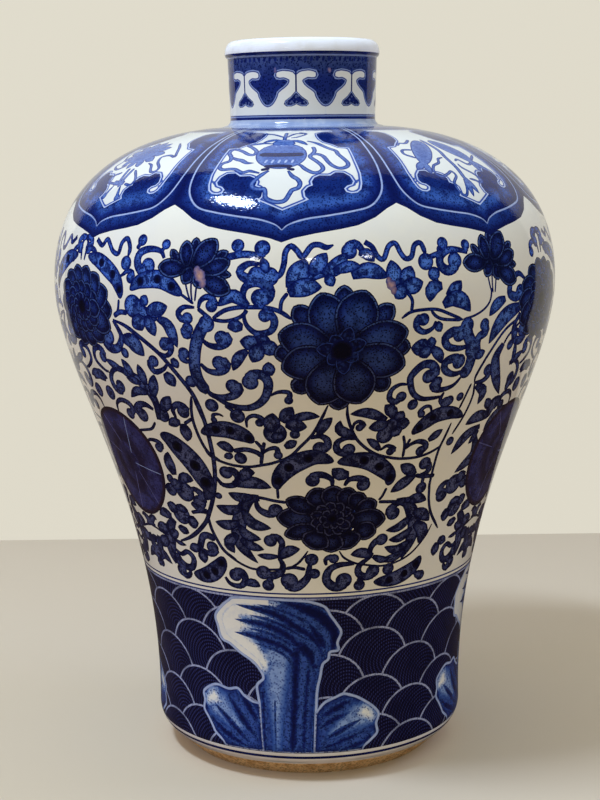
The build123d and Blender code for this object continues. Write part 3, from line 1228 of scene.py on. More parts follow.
        ball(3.8, (30.4, 193.2)), ball(5.2, (26.4, 191.2)),
    )
    # The leaves between the lotus cell in front and the aster on its right
    front_right: Strokes = (
        stem(1.3, (48.4, 229.2), (41, 223.2), (36.7, 213.2), (34, 203.2), (33.9, 199.2)),
        stem(1.2, (47.9, 227.4), (42.7, 220.4), (41, 215.8)),
        curl(4.4, (46.9, 244.2), (44.2, 247), (41.4, 244), (40.8, 238.8), (43.4, 236.8), (44.7, 238.8)),
        curl(3.6, (33.9, 199.2), (36.4, 199.4), (38.2, 201.8), (37.5, 204.6)),
        leaf(6.6, (45.4, 232.4), (40.5, 229.6), (37.6, 224.6), (35.6, 217)),
        leaf(4.6, (39.4, 236.8), (36.4, 234.4), (34.4, 229.8)),
        leaf(5.2, (40.9, 216.2), (39.3, 209.6), (41.2, 201), (45.3, 190.5)),
        leaf(3.8, (45.4, 222.6), (44, 216.4)), leaf(3, (45.9, 215.4), (46.7, 209.8), (46.9, 204.4)),
        leaf(4, (48.4, 199), (48, 191)), leaf(4.2, (34.7, 197.8), (38, 193.8), (37.3, 187.6)),
        leaf(6, (47.2, 188), (43.6, 185.2), (43.7, 179.4)), leaf(4, (42.7, 184.6), (40, 189.8)),
        leaf(5, (43.5, 180.6), (38.5, 181.2), (34.9, 178.2)),
        leaf(5, (52.3, 182.6), (46.3, 179), (43.3, 172.6)),
        leaf(4.6, (41.2, 175.8), (36.4, 172.2), (32.6, 163.8)),
        leaf(5, (40.4, 171), (42, 161.2), (36.1, 153.4)), leaf(3, (41.1, 173.8), (38.4, 167.4)),
    )
    # The left half of a lotus cell
    lotus_left: Strokes = (
        stem(1.2, (-33, 174), (-32.2, 169), (-30, 166), (-26, 163.8), (-21.9, 163.3), (-18.6, 164.3),
            (-15.2, 165.8), (-11.3, 169), (-8.6, 174), (-5.8, 180), (-3.8, 187.5), (-2.4, 194)),
        stem(1.5, (-33, 197), (-31.9, 189), (-31.2, 183), (-30.9, 175), (-30.9, 167.5), (-31.2, 160),
            (-32.2, 152.5), (-32.6, 148)),
        stem(1, (-33, 120), (-30.2, 115.5), (-26, 112), (-22.4, 111), (-14.1, 111.8), (-10.8, 114),
            (-8.6, 117.5), (-7.2, 121)),
        stem(1.1, (-14.9, 155), (-14.9, 147.5)),
        stem(1.4, (-19.4, 176.5), (-18, 173), (-18, 170), (-18.6, 164.5)),
        stem(1.4, (-17.2, 176), (-17.9, 171)), stem(1.6, (-29.1, 237), (-26.3, 232.5)),
        stem(1.6, (-26, 233), (-23.3, 236.5), (-20.5, 237.8), (-18, 238), (-14.9, 237.8), (-12.2, 236.2),
            (-9.9, 233)),
        stem(1.4, (-26, 232.5), (-23.3, 232), (-20.5, 233.5), (-18.6, 236.5)),
        stem(4.6, (-26.8, 231.4), (-28.3, 229), (-29.8, 223.4), (-30.8, 216.6), (-31.2, 210.2),
            (-30.7, 204.4), (-29.1, 199)),
        ball(6.4, (-27.4, 230.6)), ball(5, (-32.7, 204.2)),
        curl(3.4, (-31.4, 213.8), (-33.2, 213.6), (-34.1, 215.4), (-33.3, 217.2)),
        stem(2, (-25.2, 171), (-21.9, 172), (-19.1, 170.5), (-18.3, 168.5)),
        stem(1.5, (-25.5, 193.5), (-23.5, 190.5)), stem(1.1, (-33, 243), (-30, 239)),
        curl(4.2, (-30.1, 202.2), (-28.1, 198.2), (-25.5, 197.2), (-22.8, 198.8), (-21.6, 202.4),
            (-23, 202.8)),
        curl(4.5, (-27.4, 197), (-25.2, 194.5), (-22.4, 192.8), (-19.7, 192.8), (-17.4, 195),
            (-15.8, 199), (-15.2, 205), (-16.6, 208.5), (-18.8, 208), (-19.1, 205)),
        curl(2.5, (-15.2, 198.5), (-13, 200.5), (-10.8, 200), (-11, 196.5)), ball(5.6, (-28.7, 193.2)),
        ball(6, (-22.9, 188.5)), curl(2, (-26.3, 188), (-27.4, 189), (-28.8, 188.5), (-28.8, 186)),
        curl(2.5, (-21, 183), (-20.8, 187), (-19.1, 189), (-17.2, 187.5), (-17.9, 185.5)),
        curl(2.6, (-18.1, 170), (-16.3, 172.5), (-14.4, 173), (-14.1, 169.5)),
        curl(4, (-6.3, 178), (-4.1, 179), (-2.4, 177), (-2.4, 173), (-4.1, 173)), ball(3, (-31.5, 147.5)),
        curl(3.2, (-29.8, 237.4), (-32.2, 237.4), (-33.6, 234.8), (-32.8, 232.2), (-31.5, 232.8)),
        curl(3.5, (-19, 237), (-19.4, 234), (-18.8, 230), (-16.9, 227), (-14.1, 228), (-13.3, 232.5),
            (-14.7, 236), (-15.2, 234.5)),
        curl(4.2, (-28.8, 224), (-27.3, 221.4), (-25.1, 220.8), (-23.3, 222.8), (-23, 225.2),
            (-24.3, 224.6)),
        curl(4.2, (-29.7, 212.8), (-28.3, 209.8), (-26.1, 209), (-24.2, 210.8), (-24, 214),
            (-25.4, 213.4)),
        curl(3.4, (-29.4, 223.4), (-30.9, 225.2), (-32.3, 224.8), (-32.6, 227.6), (-31.7, 228.2)),
        ball(9, (-14.5, 180.5)), leaf(6, (-15.5, 181), (-14.7, 190.5)),
        leaf(5, (-12.8, 186), (-10.2, 193.5)), leaf(3.5, (-11, 187.5), (-7, 189), (-4.1, 188.5)),
        leaf(5, (-12, 185), (-7, 183.5)), ball(4, (-9.9, 180)), leaf(5, (-14, 181), (-13.8, 176.5)),
        leaf(4, (-4.4, 179.5), (-3.3, 184), (-1.3, 188)),
        leaf(4, (-25.2, 171), (-27.4, 173.5), (-29.4, 174)), leaf(3, (-25.5, 169), (-28, 167.5)),
        ball(5.2, (-23.6, 167.5)), leaf(3.5, (-12.4, 173.5), (-9.4, 176.8)),
        leaf(4.5, (-19.7, 229.5), (-21.5, 230), (-23, 229)), ball(8, (-16.3, 222.5)),
        *spray(5.5, (-16.3, 222), (-20.6, 223.5), (-15.2, 226), (-12.5, 219), (-18.3, 214)),
        leaf(4, (-19.1, 219.5), (-21.1, 216), (-22.6, 210)), leaf(4.5, (-14.9, 208), (-14.9, 214.5)),
        stem(1.3, (-22, 147.4), (-19.8, 147.8), (-15.9, 146.4), (-12.5, 145.6)),
        curl(4, (-31.2, 157), (-29.7, 153.4), (-26.6, 153.6), (-25, 157.2), (-26.2, 160.8),
            (-28.2, 159.8)),
        leaf(5, (-26.8, 154.2), (-21.3, 155.4), (-16.4, 153)),
        leaf(4.6, (-24.6, 156.4), (-22.4, 160.2), (-20.3, 160.4)),
        curl(4, (-0.7, 153.6), (-1, 157.2), (-3.5, 159.6), (-5.8, 158.8), (-5.8, 156.8)),
        curl(4.2, (-21, 147), (-20.7, 142.8), (-19.2, 140.4), (-17.2, 139.6), (-15.8, 141.6)),
        leaf(5.6, (-20, 147.6), (-22.3, 147), (-24.7, 142.4), (-26.4, 135.8), (-27.4, 129),
            (-26.9, 122.6), (-24.6, 117.8), (-22.2, 114)),
        leaf(4, (-21.7, 148.2), (-25.4, 147.4), (-28.6, 149.4)),
        leaf(4.2, (-24.9, 142.4), (-29.2, 140.4), (-33, 142.2)),
        leaf(4.2, (-26.6, 134.6), (-30.5, 132.6), (-34.2, 133.8)),
        leaf(4.6, (-27.6, 128.6), (-30.8, 123.4), (-29.4, 118.4)),
        leaf(4.6, (-25, 141), (-22.7, 134.4), (-17.4, 132.2)),
        leaf(4.2, (-26.9, 133), (-24.8, 128.2), (-20.6, 126.4)),
        leaf(3.8, (-27, 126), (-24, 123), (-20, 121.2)),
        curl(3.8, (-15.8, 116.8), (-15.2, 121), (-14.6, 124.6), (-15.6, 127.4), (-17.2, 127.8),
            (-18, 125.9)),
        curl(4.4, (-15.8, 117.2), (-14.7, 113.6), (-15.6, 109.8), (-18.5, 108.2), (-20.9, 109.6)),
        stem(2.6, (-18.7, 107.6), (-19.5, 104)), ball(5, (-19.7, 103.2)),
        leaf(2.6, (-16, 118), (-19.3, 117.8), (-22.4, 118.4)),
        leaf(4.4, (-15.5, 117.4), (-12.7, 121), (-9.4, 122)),
        curl(5, (-6.5, 115), (-6.9, 111.8), (-7.5, 107.2), (-10.7, 102.8), (-13.2, 103.6), (-13, 105.8)),
        ball(5.4, (-6.1, 116.6)), ball(4.6, (-5.3, 109.4)),
        stem(1.4, (-13.8, 112), (-11.3, 112.6), (-8, 111.6)),
        curl(4, (-33.9, 105.6), (-32.3, 102.4), (-28.9, 101.8), (-27, 105), (-27.8, 108.8), (-29.8, 109),
            (-30.2, 107.2)),
        leaf(3.6, (-27.4, 103.2), (-24.7, 104), (-22.2, 102.2)),
        pod(8, (-14.9, 152), (-14.7, 156), (-13, 161), (-9.9, 165.5), (-5.2, 168.5), (-0.5, 166)),
        pod(7.5, (-19.7, 175.5), (-21.9, 179), (-26, 181.5), (-29.7, 181), (-33, 179)),
        ribbon(2.6, (-14.7, 250.4), (-13.5, 250), (-12, 251.6), (-11.3, 255.8), (-11, 260.6),
            (-9.9, 263.2), (-8.6, 261), (-7.6, 258.6), (-5.8, 263), (-4.3, 263.6), (-2.8, 262.4),
            (-1.3, 263.4)),
        stem(2.6, (-23.2, 258.4), (-19.4, 259.8), (-15.9, 258.8)), ball(5, (-20.8, 263.4)),
        stem(2, (-20.6, 261.6), (-20.1, 259.8)), ball(6, (-15.7, 262.4)),
        stem(2.6, (-15.7, 260.6), (-15.8, 258.4)),
        curl(4.4, (-16.2, 255.8), (-18.5, 255.8), (-20.2, 252.8), (-18.8, 249.8), (-16.8, 251.4)),
        ball(7, (-14.2, 250.6)), leaf(3.4, (-14.6, 252), (-15.4, 256.4), (-15.8, 258.6)),
        leaf(7.2, (-10.1, 245.2), (-8.4, 252), (-6.8, 257.8)),
        leaf(6.2, (-10.5, 243.8), (-7.2, 246.2), (-3.8, 246)),
        leaf(5.4, (-6.1, 251.2), (-4.4, 255.6), (-2.7, 260.2)),
        leaf(5.4, (-3.6, 250.8), (-0.9, 254.4), (1.4, 260)), leaf(4, (-2.8, 251.2), (-1.6, 246.2)),
        leaf(4, (-1.5, 252.6), (1.7, 254.4), (4.2, 254.2)),
        stem(3, (-10.5, 243.8), (-8.2, 247.8), (-5.1, 250.8), (-0.9, 253.2), (3.2, 254.4)),
        stem(1.4, (-10.6, 243.8), (-11.8, 240.4), (-12.1, 235.8)),
        curl(4.8, (-18.5, 238.2), (-19.5, 242.4), (-18.9, 246.6), (-16.4, 248.2), (-14.2, 245.4),
            (-14.7, 241.6), (-16.1, 241.8)),
        leaf(4.6, (-18.4, 238.4), (-21.7, 242.6), (-24.9, 238.2)),
        curl(3.4, (-29, 237), (-28.4, 240.4), (-26.9, 242), (-25.5, 240.4), (-26.1, 238.2)),
    )
    # The right half of an aster cell, which is mirrored for the left
    aster_half: Strokes = (
        stem(1.8, (11.5, 229.8), (15.25, 227.5), (19, 223), (23, 217), (25.25, 212), (28.4, 203.5),
            (30.25, 197), (31.5, 187.5), (32, 177.5), (32, 165), (31.2, 155), (29.6, 146), (27.4, 138),
            (25.6, 133), (22.1, 127.5), (18.4, 123.5), (14, 120.5)),
        stem(1.3, (29.6, 197), (28.8, 190), (28.7, 183.5), (29.6, 175), (31.2, 169), (34, 165.5)),
        stem(1.4, (26.7, 136), (27.1, 130), (28.4, 124), (30.25, 119), (34, 114.5)),
        stem(1.2, (14, 239), (13.4, 234), (12, 231.5)), stem(2, (12, 231.5), (14, 233.5), (16.2, 233.5)),
        stem(1.2, (17.1, 182), (15.25, 178.5), (12.75, 177.3), (10.25, 176.5)),
        stem(2.5, (22.1, 142.5), (24, 139.5), (27.1, 138.2)),
        stem(1.6, (21.2, 137), (24, 138), (27.1, 138.2)), stem(1, (0.9, 125), (7.1, 122)),
        stem(1.4, (26, 183), (27.75, 185), (28.4, 186)),
        curl(3, (-0.7, 254.5), (-1.3, 259), (-3.5, 260), (-5, 258), (-4.75, 255.5)),
        curl(3.5, (-1.5, 259), (-0.8, 264), (1.7, 265), (3, 262.5), (1.9, 260)),
        curl(3, (14.3, 249), (15.25, 250), (16.5, 251.5), (18, 250.5), (17.3, 248.5)),
        curl(4.5, (25.9, 257.5), (24.9, 260.5), (22.1, 261.3), (19.6, 259.5), (19, 255.5), (20.25, 252),
            (22, 254)),
        stem(1.8, (18.5, 261), (19.3, 264)), ball(4.6, (19.6, 265)), stem(1.5, (25, 260), (25.7, 262.5)),
        ball(4, (26, 263.5)),
        curl(5, (11.5, 229.5), (12.75, 226), (13.4, 222), (11.5, 217), (8.7, 216.5), (7.4, 219.5),
            (9, 222)),
        curl(3.5, (23, 217), (25.25, 215.5), (26.8, 218.5), (26.5, 222), (24.9, 222), (25.2, 220.5)),
        curl(3.5, (25.25, 212), (23.7, 209), (21.2, 207.5), (20.25, 211), (21.5, 212.5)),
        curl(3.5, (5.5, 204.5), (4, 205), (1.2, 209), (1.5, 214), (3.7, 216), (5.5, 214), (4.8, 211.5)),
        curl(4, (10.6, 207), (7.4, 205.5), (5.6, 201.5), (5.9, 197), (7.75, 195.5), (8.4, 198)),
        curl(3.5, (3.7, 184.5), (4.3, 188.5), (6.5, 190.8), (9.3, 190), (10.4, 187), (8.8, 184.5)),
        curl(4.5, (17.75, 188.5), (15.6, 190.5), (13.4, 190), (11.8, 187), (13.4, 185)),
        curl(4, (24, 185.5), (23.7, 190), (25.6, 192.5), (27.4, 190.5), (26.5, 189)),
        curl(3, (11.8, 171), (13.4, 172.5), (15.9, 172), (16.9, 170), (15.6, 168.8)),
        curl(4.5, (22, 148), (24, 149.5), (25.9, 147.5), (26.2, 144.5), (24.9, 143)),
        curl(4, (9.6, 116.5), (12.75, 113.5), (15.9, 115.5), (18, 112.5), (16.8, 108), (14, 107.5),
            (10.6, 110.5)),
        curl(4, (15.3, 107), (15.25, 104), (13, 102.5), (11.5, 105)),
        stem(3, (27.75, 124.5), (25.25, 126), (23.4, 125), (22.1, 121), (21.5, 119)),
        curl(4, (21.5, 119), (24.9, 116.5), (27.1, 118.5), (26.2, 120)), ball(5.6, (15.8, 254.8)),
        ball(6.4, (2.9, 193.5)), ball(4.4, (13.4, 215)), ball(3, (31.3, 147.5)), ball(4, (0.7, 105.5)),
        ball(6, (15.6, 147.5)), ball(9, (20.6, 147.5)), ball(6.5, (20.2, 186.4)), ball(9, (18, 236.5)),
        leaf(5.5, (21.5, 234), (24.6, 236), (27, 237.5)), leaf(4, (20.5, 237), (21.8, 241.8)),
        leaf(7, (18.5, 233), (20, 226)), leaf(5, (21.5, 233), (23.2, 224)),
        leaf(4.5, (24.3, 232), (26.8, 229), (28.4, 219.5)),
        stem(4.5, (18, 236), (20.5, 234.5), (24.3, 232.5)),
        leaf(6.5, (13.7, 221.5), (16.5, 220.5), (19.3, 214.5)), leaf(3.5, (26.5, 214.5), (27.75, 210)),
        leaf(5, (24, 207.5), (25.25, 203.5), (25.9, 201)),
        leaf(4.2, (18.6, 183.5), (19, 193), (16.4, 201.2), (11.4, 206), (7.4, 209.4)),
        leaf(3.4, (11.4, 205.6), (5.5, 210.6)), leaf(3.8, (14.4, 203.8), (11.6, 212)),
        leaf(4.2, (17.5, 200.4), (16.6, 210.4)), leaf(4.6, (18.7, 194.8), (20.8, 206.2)),
        leaf(3.2, (16.1, 201.2), (11.6, 203)), leaf(3.6, (17.5, 196.6), (14, 197), (11.2, 193.2)),
        leaf(4.6, (20.3, 188.2), (23.9, 196.2)), leaf(4, (-2.9, 200), (0.9, 202.5), (4, 200.8)),
        leaf(4, (25, 183.5), (23.4, 183.5), (21.2, 181.5)),
        leaf(5, (25.6, 183), (25.9, 178), (25.6, 174)),
        leaf(5, (18.4, 155.5), (17.75, 162.5), (18.5, 167.5)), leaf(4, (17.4, 152.5), (15.25, 154.5)),
        leaf(4.5, (19.6, 152), (21.8, 155), (24.6, 154)), leaf(5, (20, 149), (15.9, 152.5)),
        ball(9, (17.1, 135)), leaf(5, (16, 136.5), (12.1, 139.5)), leaf(6, (17.5, 136), (18, 140.7)),
        leaf(5.5, (19, 132), (23, 131.7)), leaf(5.5, (16.8, 129), (15.9, 124.5)),
        leaf(4.5, (12.75, 133), (9.6, 134), (7.1, 132.2)),
        leaf(6, (13.4, 131.5), (10.9, 127), (9.3, 121), (8.4, 114), (9, 107)),
        leaf(5, (10, 126), (7.1, 125.5), (3.7, 125)), leaf(5, (8.4, 120), (5.5, 118), (3, 115)),
        leaf(6, (11, 126), (12.4, 121)), leaf(2, (11, 121), (13, 119.5), (16.2, 118.8)),
        leaf(3.5, (-2.5, 124.5), (0.5, 127), (3, 129.5), (4.5, 128.5)),
        leaf(5, (-2.9, 120), (-1.9, 113.5), (0.25, 110), (3.4, 110.5), (7.1, 106.5)),
        leaf(4, (-0.4, 116.5), (2.1, 118.5)), leaf(4, (21.5, 119.5), (17.1, 117.2)),
        leaf(4.5, (21.8, 118), (22.3, 111)),
        pod(7, (14.4, 239.2), (14.1, 243.4), (12.4, 248.8), (7.2, 254.8), (2.2, 256.8)),
        pod(7, (30.5, 242.4), (25.4, 248.4), (20.1, 247.4), (17.2, 243.4)),
        pod(10, (17.4, 176), (20, 174), (23, 169), (25.6, 163.5), (27.4, 157.5), (28.8, 150),
            (27.1, 144.5)),
        leaf(5, (29, 113), (25, 106.5), (18.5, 102.6)),
        pod(7.5, (29.6, 116), (27.75, 111), (24.3, 106.5), (20.6, 104.5), (16.7, 104.5)),
        ribbon(2.4, (4.8, 264.4), (7.2, 261.8), (8.7, 264.6), (11.2, 259.6), (13.1, 258.8), (13.7, 263.4),
            (15.1, 265.4), (16.4, 261.4), (16.1, 257)),
    )

    def paint(self) -> None:
        """Lays every cell of the belt on the canvas."""
        for centre, low, high in self.lotus_cells:
            left = (centre - low) / self.lotus_left_width
            self._lotus_cell(centre, left, (high - centre) / self.lotus_right_width)
        for centre, low, high in self.aster_cells:
            for turn in ((high - centre) / self.aster_width, (low - centre) / self.aster_width):
                crowded = turn < 0 and low == self.lotus_cells[0][2]
                self._half(self._thinned(self.aster_half) if crowded else self.aster_half, centre, turn)
            self._aster_flowers(centre)
        self._half(self.front_right, self.lotus_cells[0][0], 1.0)
        for place in self.half_lotus_places:
            self.canvas.strokes(self.half_lotus_stems, Finish.LEAF, self.leaf_layer, place)
            self.canvas.stroke(ball(9, (0.1, 252.5)), Finish.CORE, self.flower_layer, place)
            self._petals(self.half_lotus, place, self.flower_layer + 1)
        for turn, level, width in self.burns:
            for across, up, share in self.burn_dabs:
                x, y = turn + 0.25 * across * width, level + up * width
                mark = pod(share * width, (x + 0.3, y + 0.6 * share * width), (x, y - 0.5 * width))
                self.canvas.stroke(mark, Finish.BURN, self.flower_layer + 6)

    @staticmethod
    def _thinned(marks: Strokes) -> Strokes:
        """Leaves out the strokes that would run into the lotus cell in front.

        Args:
            marks: strokes of half an aster cell.

        Returns:
            Those that have room.
        """
        kept = []
        for mark in marks:
            room = 14 if mark.points[0][1] > 150 else 26.5
            if max(point[0] for point in mark.points) < room:
                kept.append(mark)
        return kept

    def _half(self, marks: Strokes, centre: float, turn: float) -> None:
        """Lays one half of a cell and the heaped spots on its pods.

        Args:
            marks: the strokes of the half.
            centre: angle of the middle of the cell.
            turn: stretch of their angles, negative for the left half.
        """
        spreads = {
            Brush.STEM: self.stem_spread, Brush.LEAF: self.leaf_spread,
            Brush.POD: self.pod_spread, Brush.CURL: self.pod_spread,
        }
        marks = [Stroke(m.brush, m.width * spreads.get(m.brush, 1.0), m.points) for m in marks]
        leaves = [mark for mark in marks if mark.brush in (Brush.LEAF, Brush.POD)]
        stems = [mark for mark in marks if mark not in leaves]
        self.canvas.strokes(stems, Finish.LEAF, self.leaf_layer, centre, turn)
        self.canvas.petals(leaves, Finish.LEAF, self.leaf_layer + 0.1, centre, turn)
        for mark in leaves:
            if mark.brush is Brush.POD:
                line = smooth_line(mark.points, 1.0)
                for share in (0.22, 0.5, 0.74):
                    spot = ball(mark.width * 0.5, tuple(line[int(share * (len(line) - 1))]))
                    self.canvas.stroke(spot, Finish.SPOT, self.leaf_layer + 1, centre, turn)

    def _petals(self, marks: tuple[Petal, ...], centre: float, layer: float) -> None:
        """Lays petals given as width, base and tip, each over the last."""
        strokes = [Stroke(Brush.PETAL, width * self.petal_spread, (base, tip)) for width, base, tip in marks]
        self.canvas.petals(strokes, Finish.PETAL, layer, centre)

    def _core(self, place: Point, radius: float, centre: float) -> None:
        """Lays the dark eye of a flower with a ring of small petals.

        Args:
            place: middle of the flower.
            radius: radius of the eye.
            centre: angle that the place is measured from.
        """
        scale = float(self.canvas.per_degree(place[1]))
        marks = []
        for number, turn in enumerate(np.radians(np.arange(20, 380, 51.4))):
            reach = radius * (1.5 if number % 2 else 1.15)
            tip = (place[0] + reach * math.cos(turn) / scale, place[1] + reach * math.sin(turn))
            marks.append(Stroke(Brush.PETAL, radius * 0.95, (place, tip)))
        self.canvas.petals(marks, Finish.CORE, self.flower_layer + 2, centre)
        self.canvas.stroke(ball(radius * 1.3, place), Finish.SPOT, self.flower_layer + 3, centre)

    def _lotus_cell(self, centre: float, left: float, right: float) -> None:
        """Lays the two halves and the two flowers of one lotus cell.

        Args:
            centre: angle of the middle of the cell.
            left: stretch of the angles of its left half.
            right: stretch of the angles of its right half.
        """
        self._half(self.lotus_left, centre, left)
        self._half(self.lotus_right, centre, right)
        self.canvas.stroke(ball(36, (0.3, 219)), Finish.CORE, self.flower_layer - 1, centre)
        self.canvas.stroke(ball(22, (-0.4, 137)), Finish.CORE, self.flower_layer - 1, centre)
        self._petals(self.lotus_back, centre, self.flower_layer)
        self._petals(self.lotus_front, centre, self.flower_layer + 1)
        self._core((0.2, 219), 7.5, centre)
        self._petals(self.aster_petals, centre, self.flower_layer)
        self._rosette((-0.4, 137), ((11, 10.5, 5), (7, 6.5, 4.2)), 2.6, 0.9, centre)

    def _rosette(
        self, place: Point, rings: tuple[tuple[int, float, float], ...], eye: float, squash: float,
        centre: float,
    ) -> None:
        """Lays rings of petals about one point.

        Args:
            place: middle of the flower.
            rings: number of petals, reach and petal width of each ring, outermost first.
            eye: radius of the dark eye.
            squash: height of the flower over its width.
            centre: angle that the place is measured from.
        """
        scale = float(self.canvas.per_degree(place[1]))
        for level, (count, reach, width) in enumerate(rings):
            marks = []
            for turn in np.arange(count) * 2 * math.pi / count + 0.5 * level:
                way = np.array([math.cos(turn) / scale, math.sin(turn) * squash])
                near, far = tuple(place + 0.25 * reach * way), tuple(place + reach * way)
                marks.append(Stroke(Brush.PETAL, width * self.petal_spread, (near, far)))
            self.canvas.petals(marks, Finish.PETAL, self.flower_layer + 1 + level, centre)
        self.canvas.stroke(ball(2 * eye, place), Finish.SPOT, self.flower_layer + 4, centre)

    def _aster_flowers(self, centre: float) -> None:
        """Lays the aster and the dark rayed disc of one aster cell.

        Args:
            centre: angle of the middle of the cell.
        """
        self._rosette((0, 234), ((14, 24.5, 10), (12, 16, 7.5), (9, 9, 6)), 4, 0.78, centre)
        disc = [(14.6 * math.cos(t), 158 + 27.5 * math.sin(t)) for t in np.radians(np.arange(0, 360, 12))]
        placed = np.array(disc) + (centre, 0)
        self.canvas.shape(placed, Finish.DISC, self.flower_layer, 1.6, True)
        for angle, near, finish in self.rays:
            way = (math.cos(math.radians(angle)), math.sin(math.radians(angle)))
            inner = (1.5 + near * 13.4 * way[0], 158 + near * 25.5 * way[1])
            outer = (13.4 * way[0], 158 + 25.5 * way[1])
            self.canvas.stroke(stem(0.45, inner, outer), finish, self.flower_layer + 2, centre)


@dataclass
class CloudLappets:
    """The eight pointed panels that hang over the shoulder, each with a treasure in a white field.

    Each half of a panel is drawn from its middle line. Its angles stretch to the panel's width.
    """

    canvas: Canvas
    cusps: tuple[float, ...] = (-76, -30.3, 20.6, 66.3, 109.84, 153.38, 196.92, 240.46, 284)
    design_half: float = 25.5
    top: float = 356.5
    border_layer: float = 30
    hem: Outline = (
        (0, 264.7), (2.5, 266.5), (7, 268.4), (12, 270), (16, 271.6), (20, 275), (23, 279), (25.5, 281.5),
    )
    seam_line: Outline = (
        (0, 270), (1.5, 272.5), (5, 274.8), (10, 276.3), (15, 278), (19, 280), (21.5, 284), (23.2, 290),
        (24, 300), (24.2, 310), (24.3, 320), (24.6, 330), (24.2, 356.5),
    )
    field_edge: Outline = (
        (0, 278.8), (5.8, 284), (5, 285.6), (4.8, 288.4), (5.7, 290.6), (6.8, 291.4), (6.6, 293.6),
        (7.3, 296), (8.6, 297.2), (11.2, 297), (12.6, 299), (14.6, 298.8), (16, 296.4), (16.5, 293.4),
        (16, 291.7), (14.8, 291), (14, 289.4), (14.4, 287.6), (15.6, 286.8), (17, 287.2), (18, 288.8),
        (18.6, 292), (19, 298), (18.8, 307), (18.8, 318.2), (15.6, 319.2), (13.8, 322.2), (11.5, 325),
        (10.4, 328.6), (10, 332.6), (10, 337), (12, 339.4), (15, 340.4), (17.2, 339.6), (17.2, 344),
    )
    band: Strokes = (
        stem(3.2, (-7.9, 312.6), (-1.5, 312.3), (4.8, 312.6)),
        stem(2, (-5.6, 303.4), (-1.8, 303.8), (1.8, 303.4)), stem(1.8, (-6.2, 301), (-4, 302)),
        stem(1.8, (2.4, 301), (0.4, 302)),
    )
    dashes: Strokes = tuple(
        stem(1.1, (a, 308.4), (a - 0.5, 305.8)) for a in (-5.2, -3.4, -1.6, 0.2, 2)
    )

    # The ribbons that flutter to the left and right of a treasure
    ribbons: Strokes = (
        stem(2, (-5.3, 323.2), (-8, 323.8), (-10.6, 322.8), (-13, 321.6), (-11.1, 319), (-9.3, 315.6),
            (-9.6, 312.6), (-11.2, 312.8), (-13.2, 315.2), (-15.2, 317), (-17, 317.4), (-17.6, 314.4),
            (-16.1, 310.8), (-15.8, 307.6), (-17.4, 305.8), (-17.8, 303.2), (-16.6, 301.4),
            (-14.3, 301.8), (-12.9, 301.4), (-10.9, 299.4), (-9.3, 300.4), (-8.2, 300), (-6.4, 299)),
        leaf(2.4, (-16.1, 310.8), (-14, 308.8), (-12.4, 308), (-10.6, 306), (-8.5, 306)),
        stem(2.1, (2, 305), (3.8, 304.2), (5.1, 301.4), (7, 299), (8.5, 299.2), (9.6, 301.2), (9.3, 304),
            (8.1, 307), (6.6, 310.2), (7, 312.2), (8.6, 312.6), (10.2, 310.8), (11.3, 306.2),
            (12.3, 303.4), (14, 301.6), (15.9, 302.6), (16.5, 305.2), (15.6, 309), (14.6, 312.4),
            (14.3, 315.2), (12.5, 317.6), (10.9, 320.2), (9.2, 323.2), (7.6, 325), (6, 326.2)),
        stem(1.9, (7, 312.2), (8, 315.4), (7.7, 319.6)),
    )
    # A covered jar tied with ribbons
    jar: Strokes = ribbons + (
        stem(17, (-1.6, 304.6), (-1.6, 312), (-1.6, 320.6)), ball(22, (-1.6, 312.6)),
        stem(7, (-3.6, 321), (-1.8, 325.6), (0.4, 321)),
        leaf(3, (-2.4, 327), (-5.6, 327.6), (-8.8, 324.6)),
        leaf(3, (-1.2, 326.6), (3, 326.2), (6.2, 321.4)), stem(1.8, (-2, 339), (-1.8, 326)),
        stem(1.5, (-2, 331.4), (-6.5, 335.8), (-11, 337.6)),
        stem(1.5, (-1.3, 331.4), (1.5, 337), (5.1, 337.8)),
        stem(1.4, (3, 339.8), (5.9, 336.8), (2.8, 332), (0.3, 330.6)),
        stem(2.2, (-4.1, 300.6), (-5.5, 298.4), (-6.9, 295.4), (-7.7, 292.6), (-7.2, 290.4),
            (-5.7, 289.6), (-4.6, 289.8), (-4.2, 288), (-3.9, 285), (-2.2, 283.2), (-0.9, 282.9),
            (0.5, 283.8), (1.4, 287), (2, 289), (3.4, 290.2), (3.8, 292.8), (3.1, 295.2), (1.9, 297),
            (0.8, 300.4)),
    )
    # A pair of fish that hang from a ribbon
    fish: Strokes = (
        pod(10, (-0.6, 325), (-4, 319), (-8, 311), (-11.4, 303)), leaf(4, (-10.6, 305), (-15, 299.5)),
        leaf(4, (-10.6, 305), (-11, 296.5)), pod(10, (5.4, 325), (8, 316), (10, 310), (11.4, 303)),
        leaf(4, (10.8, 305), (10.6, 296.5)), leaf(4, (10.8, 305), (15.3, 297)),
        stem(2.4, (1.5, 326), (1.5, 314), (0.5, 308), (0.5, 300), (0, 292)),
        leaf(3.2, (0.2, 294), (-0.8, 283)), leaf(3.2, (0.4, 294), (2, 284.5)),
        stem(1.5, (-1, 308), (-3.5, 307), (-5, 304), (-8, 302), (-9.5, 298), (-8, 295), (-5, 296.5),
            (-3, 298), (-2.5, 295), (-5, 291), (-5, 286), (-3.3, 284), (-1.5, 288), (-0.5, 293)),
        stem(1.5, (2.75, 303), (3, 300), (5.5, 296), (7, 292), (5.5, 290.5), (4, 292), (2, 293)),
        stem(1.6, (3, 305), (5, 306), (7, 302.5), (9, 302.5), (11, 304.5), (17, 309)),
        stem(1.6, (-10, 315), (-14, 315), (-15, 311.5), (-12, 308)),
        stem(1.6, (-5, 326), (-9, 322), (-12, 322), (-14, 319.5)),
    )
